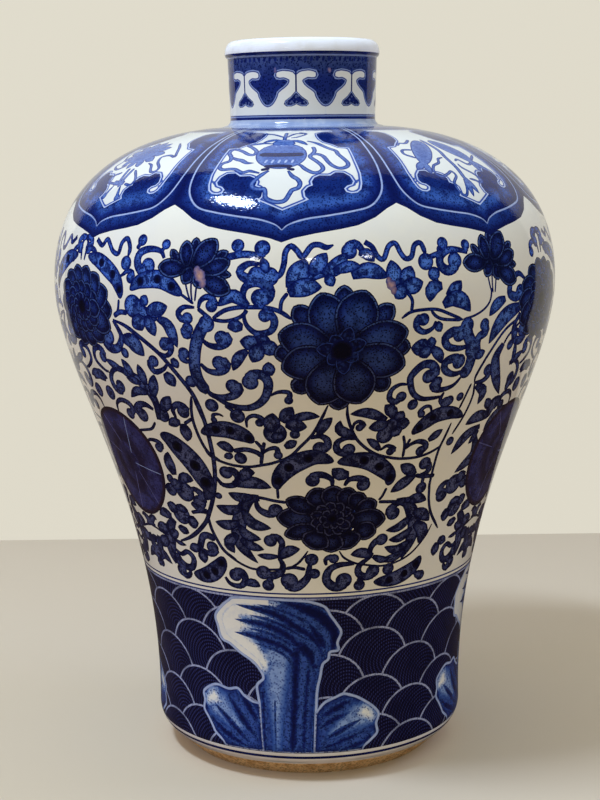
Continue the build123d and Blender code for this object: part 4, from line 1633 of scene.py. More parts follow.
    # A toothed wheel on a stand
    wheel: Strokes = tuple(
        leaf(5, (-4 + 5 * x, 314 + 6 * y), (-4 + 11 * x, 314 + 12.5 * y))
        for x, y in ((math.cos(t), math.sin(t)) for t in np.radians(np.arange(0, 360, 30)))
    ) + (
        ball(17, (-4, 314)), stem(2.2, (-2, 302), (-0.5, 291)), stem(2.2, (0.5, 302), (0.5, 290)),
        stem(3, (-3.6, 292.5), (2.2, 292.5)), curl(2.6, (-2, 291), (-3.5, 285)),
        curl(2.6, (1.4, 291), (3.2, 284.5)),
        stem(1.6, (5, 306), (7.5, 304.5), (10, 300), (12, 300.5), (12, 303), (9, 307), (8, 311),
            (11, 312.5), (14, 311), (13, 314), (10, 320), (6, 325)),
        stem(1.6, (-4, 299), (-7.5, 296.5), (-7, 293), (-3, 292)),
        stem(1.6, (2, 301), (5, 297), (6.3, 294), (5.5, 291.5), (2.5, 292.3)),
        stem(1.6, (-12, 320), (-15, 317), (-16, 312), (-13, 307), (-14, 303), (-10, 301), (-6, 304)),
    )
    # A conch shell tied with ribbons
    conch: Strokes = ribbons + (
        pod(18, (2.5, 327), (-1, 318), (-2, 309), (-0.5, 298)),
        curl(5, (-5.5, 310), (-6.2, 318), (-2, 323)), stem(1.4, (-0.5, 299), (0, 291), (1.5, 285)),
    )
    # An endless knot tied with ribbons
    knot: Strokes = ribbons + tuple(
        stem(1.8, (-7 + a, 306 + 1.05 * a), (-2.4 + a, 301 + 1.05 * a + 15.5)) for a in (0, 3, 6)
    ) + tuple(
        stem(1.8, (-6.5 + a, 322 - 1.05 * a), (-1.5 + a, 307 - 1.05 * a)) for a in (0, 3, 6)
    ) + (stem(1.5, (-1.4, 302), (-1.6, 294), (0.5, 285)),)
    # A parasol on its staff with ribbons
    parasol: Strokes = ribbons + (
        stem(4.5, (-7.5, 314), (-5, 320.5), (-1.2, 323), (2.5, 320.5), (5, 314)),
        stem(4, (-6.4, 314), (3.9, 314)), curl(3, (-1.2, 324), (-1.2, 329)),
        stem(1.7, (-1.2, 316), (-1.2, 286)),
    )
    # An open flower on its stalk with ribbons
    flower: Strokes = ribbons + tuple(
        Stroke(Brush.PETAL, 7, ((-1.2, 314), (-1.2 + 6.6 * math.cos(t), 314 + 10.5 * math.sin(t))))
        for t in np.radians(np.arange(18, 378, 45))
    ) + (stem(1.7, (-1.2, 308), (-2, 297), (0, 286)),)
    # A layered canopy with ribbons
    canopy: Strokes = ribbons + tuple(
        stem(4, (-1.2 - w, z), (-1.2, z + 2.2), (-1.2 + w, z))
        for w, z in ((6.4, 305), (5.4, 312), (4.2, 319))
    ) + (
        stem(1.7, (-1.2, 326), (-1.2, 300)), curl(2.8, (-1.2, 324), (-1.2, 329)),
        leaf(3, (-1.2, 302), (-3, 288)), leaf(3, (-1.2, 302), (1, 287)),
    )

    def paint(self) -> None:
        """Lays the eight panels and their treasures."""
        treasures = (
            self.wheel, self.jar, self.fish, self.conch, self.knot, self.parasol, self.flower, self.canopy,
        )
        for low, high, treasure in zip(self.cusps, self.cusps[1:], treasures):
            centre = (low + high) / 2
            turn = (high - low) / 2 / self.design_half
            self._panel(centre, turn)
            self.canvas.strokes(treasure, Finish.EMBLEM, self.border_layer + 10, centre, turn)
        jar_place = (self.cusps[1] + self.cusps[2]) / 2
        self.canvas.strokes(self.band, Finish.BORDER, self.border_layer + 11, jar_place)
        self.canvas.strokes(self.dashes, Finish.PALE, self.border_layer + 12, jar_place)

    def _mirrored(self, half: Outline, centre: float, turn: float) -> np.ndarray:
        """Joins a half outline with its mirror image.

        Args:
            half: points from the middle line at the bottom up to the top of the right side.
            centre: angle of the middle line.
            turn: stretch of its angles.

        Returns:
            The closed outline.
        """
        right = np.array(half, float)
        left = right[::-1] * (-1, 1)
        both = np.vstack([right, left[:-1] if half[0][0] == 0 else left])
        both[:, 0] = centre + turn * both[:, 0]
        return both

    def _panel(self, centre: float, turn: float) -> None:
        """Lays the border, ground, pale line and white field of one panel.

        Args:
            centre: angle of its middle line.
            turn: stretch of its angles.
        """
        border = self.hem + ((self.design_half, 300), (self.design_half, 330), (self.design_half, self.top))
        edges = (
            (border, Finish.BORDER, 1.6), (self.seam_line, Finish.GROUND, 1.6),
            (self.field_edge, Finish.PANEL, 1.0),
        )
        for order, (edge, finish, step) in enumerate(edges):
            outline = self._mirrored(edge, centre, turn)
            self.canvas.shape(outline, finish, self.border_layer + order, step)
        for side in (turn, -turn):
            self.canvas.stroke(stem(0.85, *self.seam_line), Finish.PALE, self.border_layer + 3, centre, side)


@dataclass
class NeckPainting:
    """The washed collar, hanging pendants and hearts round the neck."""

    canvas: Canvas
    repeats: int = 8
    first_heart: float = -5.0
    layer: float = 50
    pool_start: float = 356
    bore_depth: float = 18
    # Lower and upper height, finish and layer of each ring
    rings: tuple[tuple[float, float, Finish, int], ...] = (
        (303.2, 304.2, Finish.LINE, 1), (304.2, 333, Finish.COLLAR, 0), (331.6, 332.3, Finish.PALE, 2),
        (332.3, 333.7, Finish.LINE, 2),
    )
    reserve: Outline = (
        (0, 304.4), (24, 304.4), (24, 310), (22.5, 309.7), (20.4, 310.1), (18.4, 311.2), (16.8, 312.6),
        (15.6, 314), (14.9, 315.6), (12.6, 316.8), (9.6, 318), (7.2, 319.3), (6.2, 320.4), (9, 321.2),
        (12, 321), (15.2, 321.2), (17, 323), (15.4, 325.2), (10, 325.9), (5, 325.6), (1.6, 325), (0, 324),
    )
    heart: Outline = (
        (0, 310), (1, 309.6), (3.6, 309), (7.6, 309), (9.6, 310.1), (8.6, 311.6), (4, 313.6), (0, 316.2),
    )
    burns: tuple[Triple, ...] = ((-21, 326.6, 1.5), (20, 326.4, 1.7))
    worn_edge: Outline = (
        (-100, 0.2), (-112, -0.3), (-126, 0.3), (-141, 0), (-155, -0.3), (-168, 0.2), (-180, 0),
    )

    def paint(self) -> None:
        """Lays the rings, the pendants and the hearts."""
        level = self.canvas.profile.at_height
        self.canvas.ring(self.pool_start, level(self.rings[0][0]), Finish.POOL, self.layer)
        for low, high, finish, step in self.rings:
            self.canvas.ring(level(low), level(high), finish, self.layer + step)
        bore = self.canvas.profile.length[-1] - self.bore_depth
        self.canvas.ring(level(self.rings[-1][1]), bore, Finish.CREAM, self.layer)
        step = 360 / self.repeats
        for place in self.first_heart + step * np.arange(self.repeats):
            place = (place + 180) % 360 - 180
            self._both_sides(self.reserve, place, Finish.RESERVE, self.layer + 1)
            self._both_sides(self.heart, place, Finish.PENDANT, self.layer + 3)
            line = stem(0.8, (place, level(326)), (place, level(315)))
            self.canvas.stroke(line, Finish.LINE, self.layer + 2)
            for tick in np.arange(-20.25, 21, 4.5):
                mark = stem(1.3, (place + tick, level(329.2)), (place + tick + 0.6, level(331.2)))
                self.canvas.stroke(mark, Finish.LINE, self.layer + 3)
        for turn, height, width in self.burns:
            mark = stem(width, (turn, level(height)), (turn + 0.6, level(height - 2.4)))
            self.canvas.stroke(mark, Finish.BURN, self.layer + 4)
        self._wear()

    def _wear(self) -> None:
        """Lays the worn dark edge along the far side of the lip."""
        crown = self.canvas.profile.at_height(self.canvas.profile.overall_height)
        line = [(turn, crown + 1.4 + drift) for turn, drift in self.worn_edge]
        self.canvas.stroke(stem(0.9, *line), Finish.WORN, self.layer + 4)

    def _both_sides(self, half: Outline, centre: float, finish: Finish, layer: float) -> None:
        """Lays a half outline with its mirror image.

        Args:
            half: its points, as angle and height.
            centre: angle of the middle line.
            finish: its finish.
            layer: its layer.
        """
        level = self.canvas.profile.at_height
        right = [(angle, level(height)) for angle, height in half]
        outline = np.array(right + [(-angle, s) for angle, s in right[::-1] if angle])
        outline[:, 0] += centre
        self.canvas.shape(outline, finish, layer, 0.8)


@dataclass
class WaveBand:
    """The band of overlapping wave scales round the skirt, with its border lines."""

    canvas: Canvas
    columns: int = 22
    first_column: float = 22.5
    radius: float = 18.0
    even_tops: tuple[float, ...] = (97, 80.5, 57, 37.5, 19)
    odd_tops: tuple[float, ...] = (91, 69, 48, 30.5)
    # Arc length of the lower and upper edge, finish and layer of each ring
    rings: tuple[tuple[float, float, Finish, int], ...] = (
        (-1, 11.4, Finish.BISCUIT, 28), (11.4, 20.3, Finish.CREAM, 27), (16.7, 18.5, Finish.LINE, 28),
        (20.3, 96.8, Finish.WAVE, 1), (96.8, 97.5, Finish.LINE, 28), (98.7, 99.5, Finish.LINE, 28),
    )

    def paint(self) -> None:
        """Lays the ground, the scales and the lines."""
        for low, high, finish, layer in self.rings:
            self.canvas.ring(low, high, finish, layer)
        for column in range(self.columns):
            place = (self.first_column + column * 360 / self.columns + 180) % 360 - 180
            for top in self.odd_tops if column % 2 else self.even_tops:
                self._scale(place, top)

    def _scale(self, place: float, top: float) -> None:
        """Lays one wave scale.

        Args:
            place: angle of its middle.
            top: arc length of its crest.
        """
        middle = top - self.radius
        turn = np.linspace(0, 2 * np.pi, 84, endpoint=False)
        across = self.radius / float(self.canvas.per_degree(max(middle, 14)))
        outline = np.stack([place + across * np.cos(turn), middle + self.radius * np.sin(turn)], 1)
        kept = outline[outline[:, 1] > 13]
        scale = float(self.canvas.per_degree(kept[:, 1].mean()))
        self.canvas.area(kept, Finish.WAVE, 2 + (100 - top) * 0.05, None, np.array([place * scale, middle]))


@dataclass
class RockGroups:
    """The four groups of rocks that stand in the waves."""

    canvas: Canvas
    places: tuple[float, ...] = (-102, -8, 87, 172)
    layer: float = 20
    crag: Outline = (
        (-16.4, 95.6), (-7, 96.2), (0.5, 96), (8, 95.2), (13, 92.5), (14.9, 88.1), (17, 83.8),
        (18.6, 79.4), (17.4, 74.4), (17.75, 70.6), (14.9, 69.8), (14.3, 66.3), (12.4, 63.8), (11.5, 57.5),
        (10.5, 51.3), (10.1, 42.5), (9.25, 20.6), (-8.9, 20.6), (-9.75, 32.5), (-10.1, 43.8),
        (-10.75, 52.5), (-8.3, 56.3), (-9.5, 60.6), (-12, 64.4), (-16.4, 68.1), (-20.1, 71.9),
        (-23.3, 73.8), (-24.3, 80), (-24.8, 85), (-22, 90), (-18.9, 93.8),
    )
    crag_light: Outline = (
        (-24.6, 84.2), (-22, 90), (-19, 94), (-15.5, 95.6), (-8.1, 95.6), (0, 95), (-3, 91.8), (-9, 91.2),
        (-4, 87.2), (-1, 84.5), (-8, 85), (-14, 85), (-10, 82), (-3, 79), (-9, 79), (-14, 79), (-11, 76),
        (-9, 74), (-7, 70), (-5, 65), (-5.5, 60), (-8.1, 57.6), (-11, 63), (-16, 68), (-22, 73.4),
        (-24, 79),
    )
    crag_half: Outline = (
        (-10.5, 62), (-8, 72), (-2, 76), (2, 70), (1.4, 60), (0.4, 50), (-0.6, 40), (-1.4, 30), (-2, 21),
        (-5.6, 21), (-6.6, 37), (-8.4, 51), (-8.1, 57),
    )
    left_rock: Outline = (
        (-33.3, 45), (-29.5, 48.8), (-26.4, 50), (-22, 49), (-18.3, 50), (-15.8, 46.9), (-12.6, 44.4),
        (-10, 43.8), (-8.8, 20.6), (-24, 20.6), (-25, 23), (-28.3, 26.3), (-29.5, 28.8), (-31.4, 32.5),
        (-33.5, 36.3), (-33, 40.6),
    )
    left_light: Outline = (
        (-33, 44), (-29.5, 48.4), (-26.6, 48.6), (-25.6, 45), (-24, 41), (-27.5, 39), (-31.5, 38),
        (-33.4, 40),
    )
    left_half: Outline = (
        (-33, 43), (-27, 49), (-22.5, 46.5), (-19, 39), (-14, 31), (-17.5, 27), (-24, 30.5), (-31, 34.5),
    )
    right_rock: Outline = (
        (9.9, 40), (13, 45), (17, 47.5), (19.9, 48.8), (24.3, 46.9), (28, 43.8), (31, 40.6), (33, 36.9),
        (32, 32.5), (32.4, 28.1), (29.9, 25), (27.4, 22.5), (26.8, 20.6), (9.2, 20.6),
    )
    right_light: Outline = (
        (32.8, 36.5), (30.7, 40.8), (27.5, 44), (25.4, 42), (23.5, 38), (26.5, 35), (30.5, 33.2),
    )
    right_half: Outline = (
        (32.6, 35), (28, 44.4), (23, 44.4), (18, 38.5), (13.5, 31), (13, 26), (18, 27.5), (24, 30),
        (31, 31.5),
    )

    # The bare edge of the tall rock, where its light meets its outline
    glare: Strokes = (
        ribbon(3.6, (-5, 95), (-15.5, 94.2), (-19, 92.2), (-22, 88.4), (-23.4, 84), (-22.8, 79),
            (-21.6, 75), (-18.6, 72.2), (-15, 68.8), (-11, 64.6), (-8.6, 60.6)),
    )
    # The dark folds of the tall rock
    crag_shades: Strokes = (
        leaf(7, (15.6, 70), (16.4, 79), (12.4, 86.8), (5.5, 92.4), (-2, 95.4)),
        leaf(4.6, (13, 67), (9.4, 76.4), (2.5, 83.8), (-5.2, 89.6), (-16.5, 92.2)),
        leaf(4.6, (11, 61), (5.6, 71), (0, 79), (-7.9, 83.2), (-17.5, 84.6)),
        leaf(4, (3.6, 61), (2, 69.4), (-3.4, 73.8), (-9.9, 76.8), (-18, 78)),
        leaf(2.4, (11, 80), (6, 86), (-2, 91), (-9, 93.2)),
        leaf(2.4, (8, 75), (2, 81), (-5, 85.4), (-12, 87.6)),
        leaf(2.2, (5, 69), (0, 75), (-6, 79), (-13, 81)),
        leaf(2, (2.4, 62), (0, 68), (-5, 71.6), (-11, 73.6)), leaf(5, (8, 84), (11.5, 76), (14, 70)),
        leaf(5, (4, 76), (8, 69), (9.5, 60)), stem(4.5, (3.8, 72.9), (3.3, 61.1), (1.6, 20.8)),
        stem(3, (7.7, 64), (6.3, 42.5), (5.6, 20.8)), stem(2, (11, 60), (9.9, 42.4), (8.6, 20.8)),
        stem(2.6, (-8.6, 52), (-8.6, 41.7), (-8.2, 20.8)), stem(1, (-4.4, 46), (-4.4, 20.8)),
        stem(0.8, (-1.2, 38), (-1.6, 20.8)),
    )
    # The dark folds of the low rock on the left
    left_shades: Strokes = (
        leaf(4.6, (-10.4, 34), (-14.6, 42.6), (-18.6, 49.6)),
        leaf(4, (-11, 26.5), (-17.6, 37), (-22.8, 47.6)), leaf(3.4, (-14, 24), (-21, 32), (-28.4, 40.4)),
        leaf(4.2, (-15, 22), (-23.5, 27), (-31.5, 34.4)),
    )
    # The dark folds of the low rock on the right
    right_shades: Strokes = (
        leaf(4.6, (11.4, 38), (17, 41.8), (23.4, 46.4)), leaf(3.6, (11, 32.4), (15.9, 36.3), (22.4, 40)),
        leaf(3, (11.8, 25.6), (18.6, 31), (26.4, 35.6)), leaf(3.4, (12, 23), (19.3, 26), (28, 30)),
        leaf(3.6, (18, 21.6), (26, 24), (32, 29.4)),
    )

    def paint(self) -> None:
        """Lays each group with its lights and shades."""
        # Each rock is open at its foot, where it stands behind the border or another rock
        crag_line = self.crag[17:] + self.crag[:17]
        left_line = self.left_rock[9:] + self.left_rock[:8]
        right_line = self.right_rock[:13]
        rocks = (
            ((self.crag, self.crag_half, self.crag_light), self.crag_shades, crag_line),
            ((self.left_rock, self.left_half, self.left_light), self.left_shades, left_line),
            ((self.right_rock, self.right_half, self.right_light), self.right_shades, right_line),
        )
        for place in self.places:
            for step, (areas, shades, line) in enumerate(rocks):
                self._rock(place, step, areas, shades, line)
            self.canvas.strokes(self.glare, Finish.ROCK_GLARE, self.layer + 0.3, place)

    def _rock(
        self, place: float, step: int, areas: tuple[Outline, ...], shades: Strokes, line: Outline,
    ) -> None:
        """Lays one rock with its halftone and light, the dark strokes over them and the pale line round it.

        Args:
            place: angle of the middle of its group.
            step: its number in the group, the last in front.
            areas: outlines of the rock, of its halftone and of its light.
            shades: the dark strokes.
            line: the part of its outline that shows.
        """
        layer = self.layer + step
        tones = (Finish.ROCK, Finish.ROCK_HALF, Finish.ROCK_LIGHT)
        for order, (edge, finish) in enumerate(zip(areas, tones)):
            self.canvas.shape(np.array(edge) + (place, 0), finish, layer + 0.1 * order, 1.4)
        self.canvas.strokes(shades, Finish.ROCK_SHADE, layer + 0.4, place)
        self.canvas.stroke(stem(1.3, *line), Finish.PALE, layer + 0.5, place)


# The pieces of the wall

class SkinCutter:
    """Cuts the part of the canvas between two levels into triangles along the edges of the paint."""

    def __init__(self, canvas: Canvas, low: float, high: float, row_step: float, turn_step: float) -> None:
        """Finds the patches that reach the part.

        Args:
            canvas: the painted canvas.
            low: arc length of the lower edge.
            high: arc length of the upper edge.
            row_step: spacing of the plain rows of points, in millimetres.
            turn_step: spacing of the points in a row, in degrees.
        """
        self.canvas = canvas
        self.low = low
        self.high = high
        self.row_step = row_step
        self.turn_step = turn_step
        self.squeeze = float(canvas.per_degree((low + high) / 2))
        self.patches: list[tuple[Patch, float]] = []
        for patch in canvas.patches:
            if patch.outline[:, 1].min() >= high or patch.outline[:, 1].max() <= low:
                continue
            for shift in (-360.0, 0.0, 360.0):
                turned = patch.outline[:, 0] + shift
                if turned.max() > -180 and turned.min() < 180:
                    if shift == 0 or np.ptp(turned) < 350:
                        self.patches.append((patch, shift))
        self.patches.sort(key=lambda entry: entry[0].layer)
        self._cut()
        self._own()

    def _lines(self) -> tuple[list[np.ndarray], list[tuple[np.ndarray, bool]]]:
        """Gathers the loose points and the lines to cut along.

        Returns:
            The loose points, and each line with whether it closes.
        """
        turn = np.arange(-180, 180.01, self.turn_step)
        rise = np.linspace(self.low, self.high, max(2, math.ceil((self.high - self.low) / 2.5)))
        lines = [(np.stack([turn, np.full_like(turn, s)], 1), False) for s in (self.low, self.high)]
        lines += [(np.stack([np.full_like(rise, t), rise], 1), False) for t in (-180.0, -60.0, 60.0, 180.0)]
        loose = []
        for patch, shift in self.patches:
            moved = patch.outline + (shift, 0)
            lines.append((moved, True))
            if len(patch.inner):
                loose.append(patch.inner + (shift, 0))
        rows = np.arange(self.low + self.row_step / 2, self.high, self.row_step)
        for place, s in enumerate(rows):
            stagger = self.turn_step / 2 if place % 2 else 0
            loose.append(np.stack([turn[:-1] + self.turn_step / 4 + stagger, np.full(len(turn) - 1, s)], 1))
        return loose, lines

    def _cut(self) -> None:
        """Makes the triangles."""
        loose, lines = self._lines()
        points, edges, start = [], [], 0
        for line, closed in lines:
            count = len(line)
            index = start + np.arange(count)
            edges.append(np.stack([index, np.roll(index, -1)], 1)[:count if closed else count - 1])
            points.append(line)
            start += count
        spare = np.vstack(loose)
        margin = 0.2
        held = (np.abs(spare[:, 0]) < 180 - margin) & (spare[:, 1] > self.low + margin)
        held &= spare[:, 1] < self.high - margin
        flat = np.vstack(points + [spare[held]]) * (self.squeeze, 1)
        links = [tuple(pair) for pair in np.vstack(edges).tolist()]
        verts, _, faces, *_ = delaunay_2d_cdt([Vector(p) for p in flat.tolist()], links, [], 0, 1e-4, False)
        self.places = np.array([tuple(v) for v in verts]) / (self.squeeze, 1)
        triangles = np.array(faces)
        middle = self.places[triangles].mean(1)
        kept = (np.abs(middle[:, 0]) < 180) & (middle[:, 1] > self.low) & (middle[:, 1] < self.high)
        triangles = triangles[kept]
        used, flat_index = np.unique(triangles, return_inverse=True)
        self.places = self.places[used]
        self.triangles = flat_index.reshape(-1, 3)
        a, b, c = (self.places[self.triangles[:, i]] for i in range(3))
        area = (b[:, 0] - a[:, 0]) * (c[:, 1] - a[:, 1]) - (b[:, 1] - a[:, 1]) * (c[:, 0] - a[:, 0])
        self.triangles[area < 0] = self.triangles[area < 0][:, ::-1]
        self.middle = self.places[self.triangles].mean(1)

    def _own(self) -> None:
        """Finds the patch that each triangle shows and each corner's depth and place in it."""
        owner = np.full(len(self.triangles), -1)
        order = np.argsort(self.middle[:, 0])
        sorted_turn = self.middle[order, 0]
        for index, (patch, shift) in enumerate(self.patches):
            box_low, box_high = patch.outline.min(0), patch.outline.max(0)
            first, last = np.searchsorted(sorted_turn, (box_low[0] + shift, box_high[0] + shift))
            near = order[first:last]
            near = near[(self.middle[near, 1] > box_low[1]) & (self.middle[near, 1] < box_high[1])]
            if not patch.is_ring:
                near = near[inside(self.middle[near] - (shift, 0), patch.outline)]
            owner[near] = index
        self.finishes = [self.patches[i][0].finish if i >= 0 else Finish.WHITE for i in owner]
        self.paint = np.zeros((len(owner), 3, 3))
        layers = np.array([patch.layer for patch, _ in self.patches] + [-1.0])[owner]
        for layer in np.unique(layers[owner >= 0]):
            faces = np.nonzero(layers == layer)[0]
            corners = np.unique(self.triangles[faces])
            depth = np.zeros(len(self.places))
            for patch, shift in self.patches:
                if patch.layer == layer:
                    self._deepen(depth, corners, patch, shift)
            self.paint[faces, :, 0] = depth[self.triangles[faces]]
        for index in np.unique(owner[owner >= 0]):
            patch, shift = self.patches[index]
            faces = np.nonzero(owner == index)[0]
            away = (self.places[self.triangles[faces]] - (shift, 0)) * (patch.scale, 1) - patch.origin
            self.paint[faces, :, 1] = away @ patch.axis
            self.paint[faces, :, 2] = away @ np.array([-patch.axis[1], patch.axis[0]])

    def _deepen(self, depth: np.ndarray, corners: np.ndarray, patch: Patch, shift: float) -> None:
        """Raises the depth of the corners that one patch holds.

        Args:
            depth: depth of every corner, changed in place.
            corners: corners of the patch's layer.
            patch: the patch.
            shift: turn at which it is laid, in degrees.
        """
        place = self.places[corners] - (shift, 0)
        if patch.is_ring:
            low, high = patch.outline[:, 1].min(), patch.outline[:, 1].max()
            reach = np.minimum(place[:, 1] - low, high - place[:, 1])
            depth[corners] = np.maximum(depth[corners], reach)
            return
        box_low, box_high = patch.outline.min(0), patch.outline.max(0)
        near = np.all((place > box_low) & (place < box_high), axis=1)
        corners, place = corners[near], place[near]
        held = inside(place, patch.outline)
        corners, place = corners[held], place[held]
        if len(corners):
            reach = depth_in(place * (patch.scale, 1), patch.outline * (patch.scale, 1))
            depth[corners] = np.maximum(depth[corners], reach)


@dataclass
class WallSection:
    """One thrown section of the wall: its painted skin, its lining and the rims between them."""

    name: str
    low: float
    high: float
    lining: Sequence[Point]
    nodes: tuple[str, ...]
    slot: str = "glazed_porcelain"
    row_step: float = 3.0
    turn_step: float = 1.5
    lining_sides: int = 120
    under: Outline = ()
    skin_faces: int = 0

    def build(self, canvas: Canvas, shop: GlazeShop) -> bpy.types.Object:
        """Makes the finished piece and hangs it on the vase.

        Args:
            canvas: the painted canvas.
            shop: the maker of materials.

        Returns:
            The finished object.
        """
        piece = self._skin(canvas, shop)
        if self.lining:
            self._join(piece, self._lining(shop))
        self._close(piece)
        self._finish(piece)
        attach(piece, "root")
        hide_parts(*self.nodes)
        return piece

    def _skin(self, canvas: Canvas, shop: GlazeShop) -> bpy.types.Object:
        """Makes the painted outside.

        Args:
            canvas: the painted canvas.
            shop: the maker of materials.

        Returns:
            The open skin.
        """
        cutter = SkinCutter(canvas, self.low, self.high, self.row_step, self.turn_step)
        profile = canvas.profile
        turn = np.radians(cutter.places[:, 0])
        s = cutter.places[:, 1]
        radius, height = profile.radius(s) * MM, profile.height(s) * MM
        out = profile.outward(s)
        round_way = np.stack([np.sin(turn), -np.cos(turn)], 1)
        spots = np.column_stack([radius[:, None] * round_way, height])
        normals = np.column_stack([out[:, :1] * round_way, out[:, 1]])
        mesh = bpy.data.meshes.new(self.name)
        mesh.from_pydata(spots.tolist(), [], cutter.triangles.tolist())
        slots = sorted(set(cutter.finishes), key=lambda finish: finish.name)
        for finish in slots:
            mesh.materials.append(shop.get(finish))
        numbers = {finish: number for number, finish in enumerate(slots)}
        mesh.polygons.foreach_set("material_index", [numbers[finish] for finish in cutter.finishes])
        for name, domain, values in (("paint", "CORNER", cutter.paint), ("lay", "POINT", normals)):
            layer = mesh.attributes.new(name, "FLOAT_VECTOR", domain)
            layer.data.foreach_set("vector", values.ravel())
        self._unroll(mesh, cutter)
        self.skin_faces = len(cutter.triangles)
        self._weld(mesh)
        piece = bpy.data.objects.new(self.name, mesh)
        bpy.context.scene.collection.objects.link(piece)
        return piece

    def _unroll(self, mesh: bpy.types.Mesh, cutter: SkinCutter) -> None:
        """Gives the skin a map of three rows, each a third of the way round.

        Args:
            mesh: the skin.
            cutter: the triangles it is made from.
        """
        row = np.clip((cutter.middle[:, 0] + 180) // 120, 0, 2)[:, None]
        corner = cutter.places[cutter.triangles]
        across = (corner[:, :, 0] + 180 - 120 * row) / 120
        up = (corner[:, :, 1] - self.low) / (self.high - self.low)
        spot = np.stack([0.01 + 0.98 * across, 0.25 * row + 0.005 + 0.24 * up], 2)
        mesh.uv_layers.new(name="OFBake").data.foreach_set("uv", spot.ravel())

    @staticmethod
    def _weld(mesh: bpy.types.Mesh) -> None:
        """Joins the two sides of the unrolled skin at the back.

        Args:
            mesh: the skin, changed in place.
        """
        work = bmesh.new()
        work.from_mesh(mesh)
        seam = [v for v in work.verts if v.is_boundary and v.co.y > 0 and abs(v.co.x) < 1e-6]
        bmesh.ops.remove_doubles(work, verts=seam, dist=2e-6)
        work.to_mesh(mesh)
        work.free()

    def _lining(self, shop: GlazeShop) -> bpy.types.Object:
        """Turns the inside of the section from a ring, level by level.

        Args:
            shop: the maker of materials.

        Returns:
            The open lining, or one closed to a point where its last radius is zero.
        """
        first, *others = self.lining
        bpy.ops.object.select_all(action="DESELECT")
        bpy.ops.mesh.primitive_circle_add(
            vertices=self.lining_sides, radius=first[0] * MM, location=(0, 0, first[1] * MM),
        )
        bpy.ops.object.transform_apply(location=True, rotation=True, scale=True)
        lining = bpy.context.object
        lining.data.materials.append(shop.get(Finish.LINING))
        bpy.ops.object.mode_set(mode="EDIT")
        bpy.ops.mesh.select_all(action="SELECT")
        self._turn_on(first, others)
        bpy.ops.object.mode_set(mode="OBJECT")
        return lining

    @staticmethod
    def _turn_on(start: Point, levels: Sequence[Point]) -> None:
        """Draws the selected ring on through more levels, closing it where the radius is zero.

        Args:
            start: radius and height of the ring.
            levels: radius and height of each next level.
        """
        radius, height = start
        for next_radius, next_height in levels:
            rise = (0, 0, (next_height - height) * MM)
            bpy.ops.mesh.extrude_edges_move(TRANSFORM_OT_translate={"value": rise})
            if next_radius == 0:
                bpy.ops.mesh.merge(type="CENTER")
                return
            if next_radius != radius:
                share = next_radius / radius
                bpy.ops.transform.resize(value=(share, share, 1))
            radius, height = next_radius, next_height

    @staticmethod
    def _join(piece: bpy.types.Object, other: bpy.types.Object) -> None:
        """Joins another object into the piece.

        Args:
            piece: the object that stays.
            other: the object that goes into it.
        """
        bpy.ops.object.select_all(action="DESELECT")
        other.select_set(True)
        piece.select_set(True)
        bpy.context.view_layer.objects.active = piece
        bpy.ops.object.join()

    def _close(self, piece: bpy.types.Object) -> None:
        """Fills the rims between the skin and the lining at each open level.

        Args:
            piece: the joined skin and lining.
        """
        bpy.ops.object.select_all(action="DESELECT")
        piece.select_set(True)
        bpy.context.view_layer.objects.active = piece
        for low_side in (True, False):
            if self._select_rim(piece, low_side):
                bpy.ops.object.mode_set(mode="EDIT")
                if self.under and low_side:
                    self._turn_on(self.under[0], self.under[1:])
                else:
                    bpy.ops.mesh.fill()
                bpy.ops.object.mode_set(mode="OBJECT")
        bpy.ops.object.mode_set(mode="EDIT")
        bpy.ops.mesh.select_all(action="SELECT")
        bpy.ops.mesh.normals_make_consistent(inside=False)
        bpy.ops.object.mode_set(mode="OBJECT")

    def _select_rim(self, piece: bpy.types.Object, low_side: bool) -> int:
        """Selects the open edges at one end of the piece.

        Args:
            piece: the open piece.
            low_side: whether the lower end is wanted.

        Returns:
            The number of edges selected.
        """
        mesh = piece.data
        work = bmesh.new()
        work.from_mesh(mesh)
        heights = [v.co.z for v in work.verts if v.is_boundary]
        wanted = (min(heights) if low_side else max(heights)) if heights else 0
        open_edges = np.array([
            edge.is_boundary and all(abs(vertex.co.z - wanted) < 1e-5 for vertex in edge.verts)
            for edge in work.edges
        ])
        work.free()
        bpy.ops.object.mode_set(mode="EDIT")
        bpy.ops.mesh.select_mode(type="EDGE")
        bpy.ops.mesh.select_all(action="DESELECT")
        bpy.ops.object.mode_set(mode="OBJECT")
        mesh.edges.foreach_set("select", open_edges)
        return int(open_edges.sum())

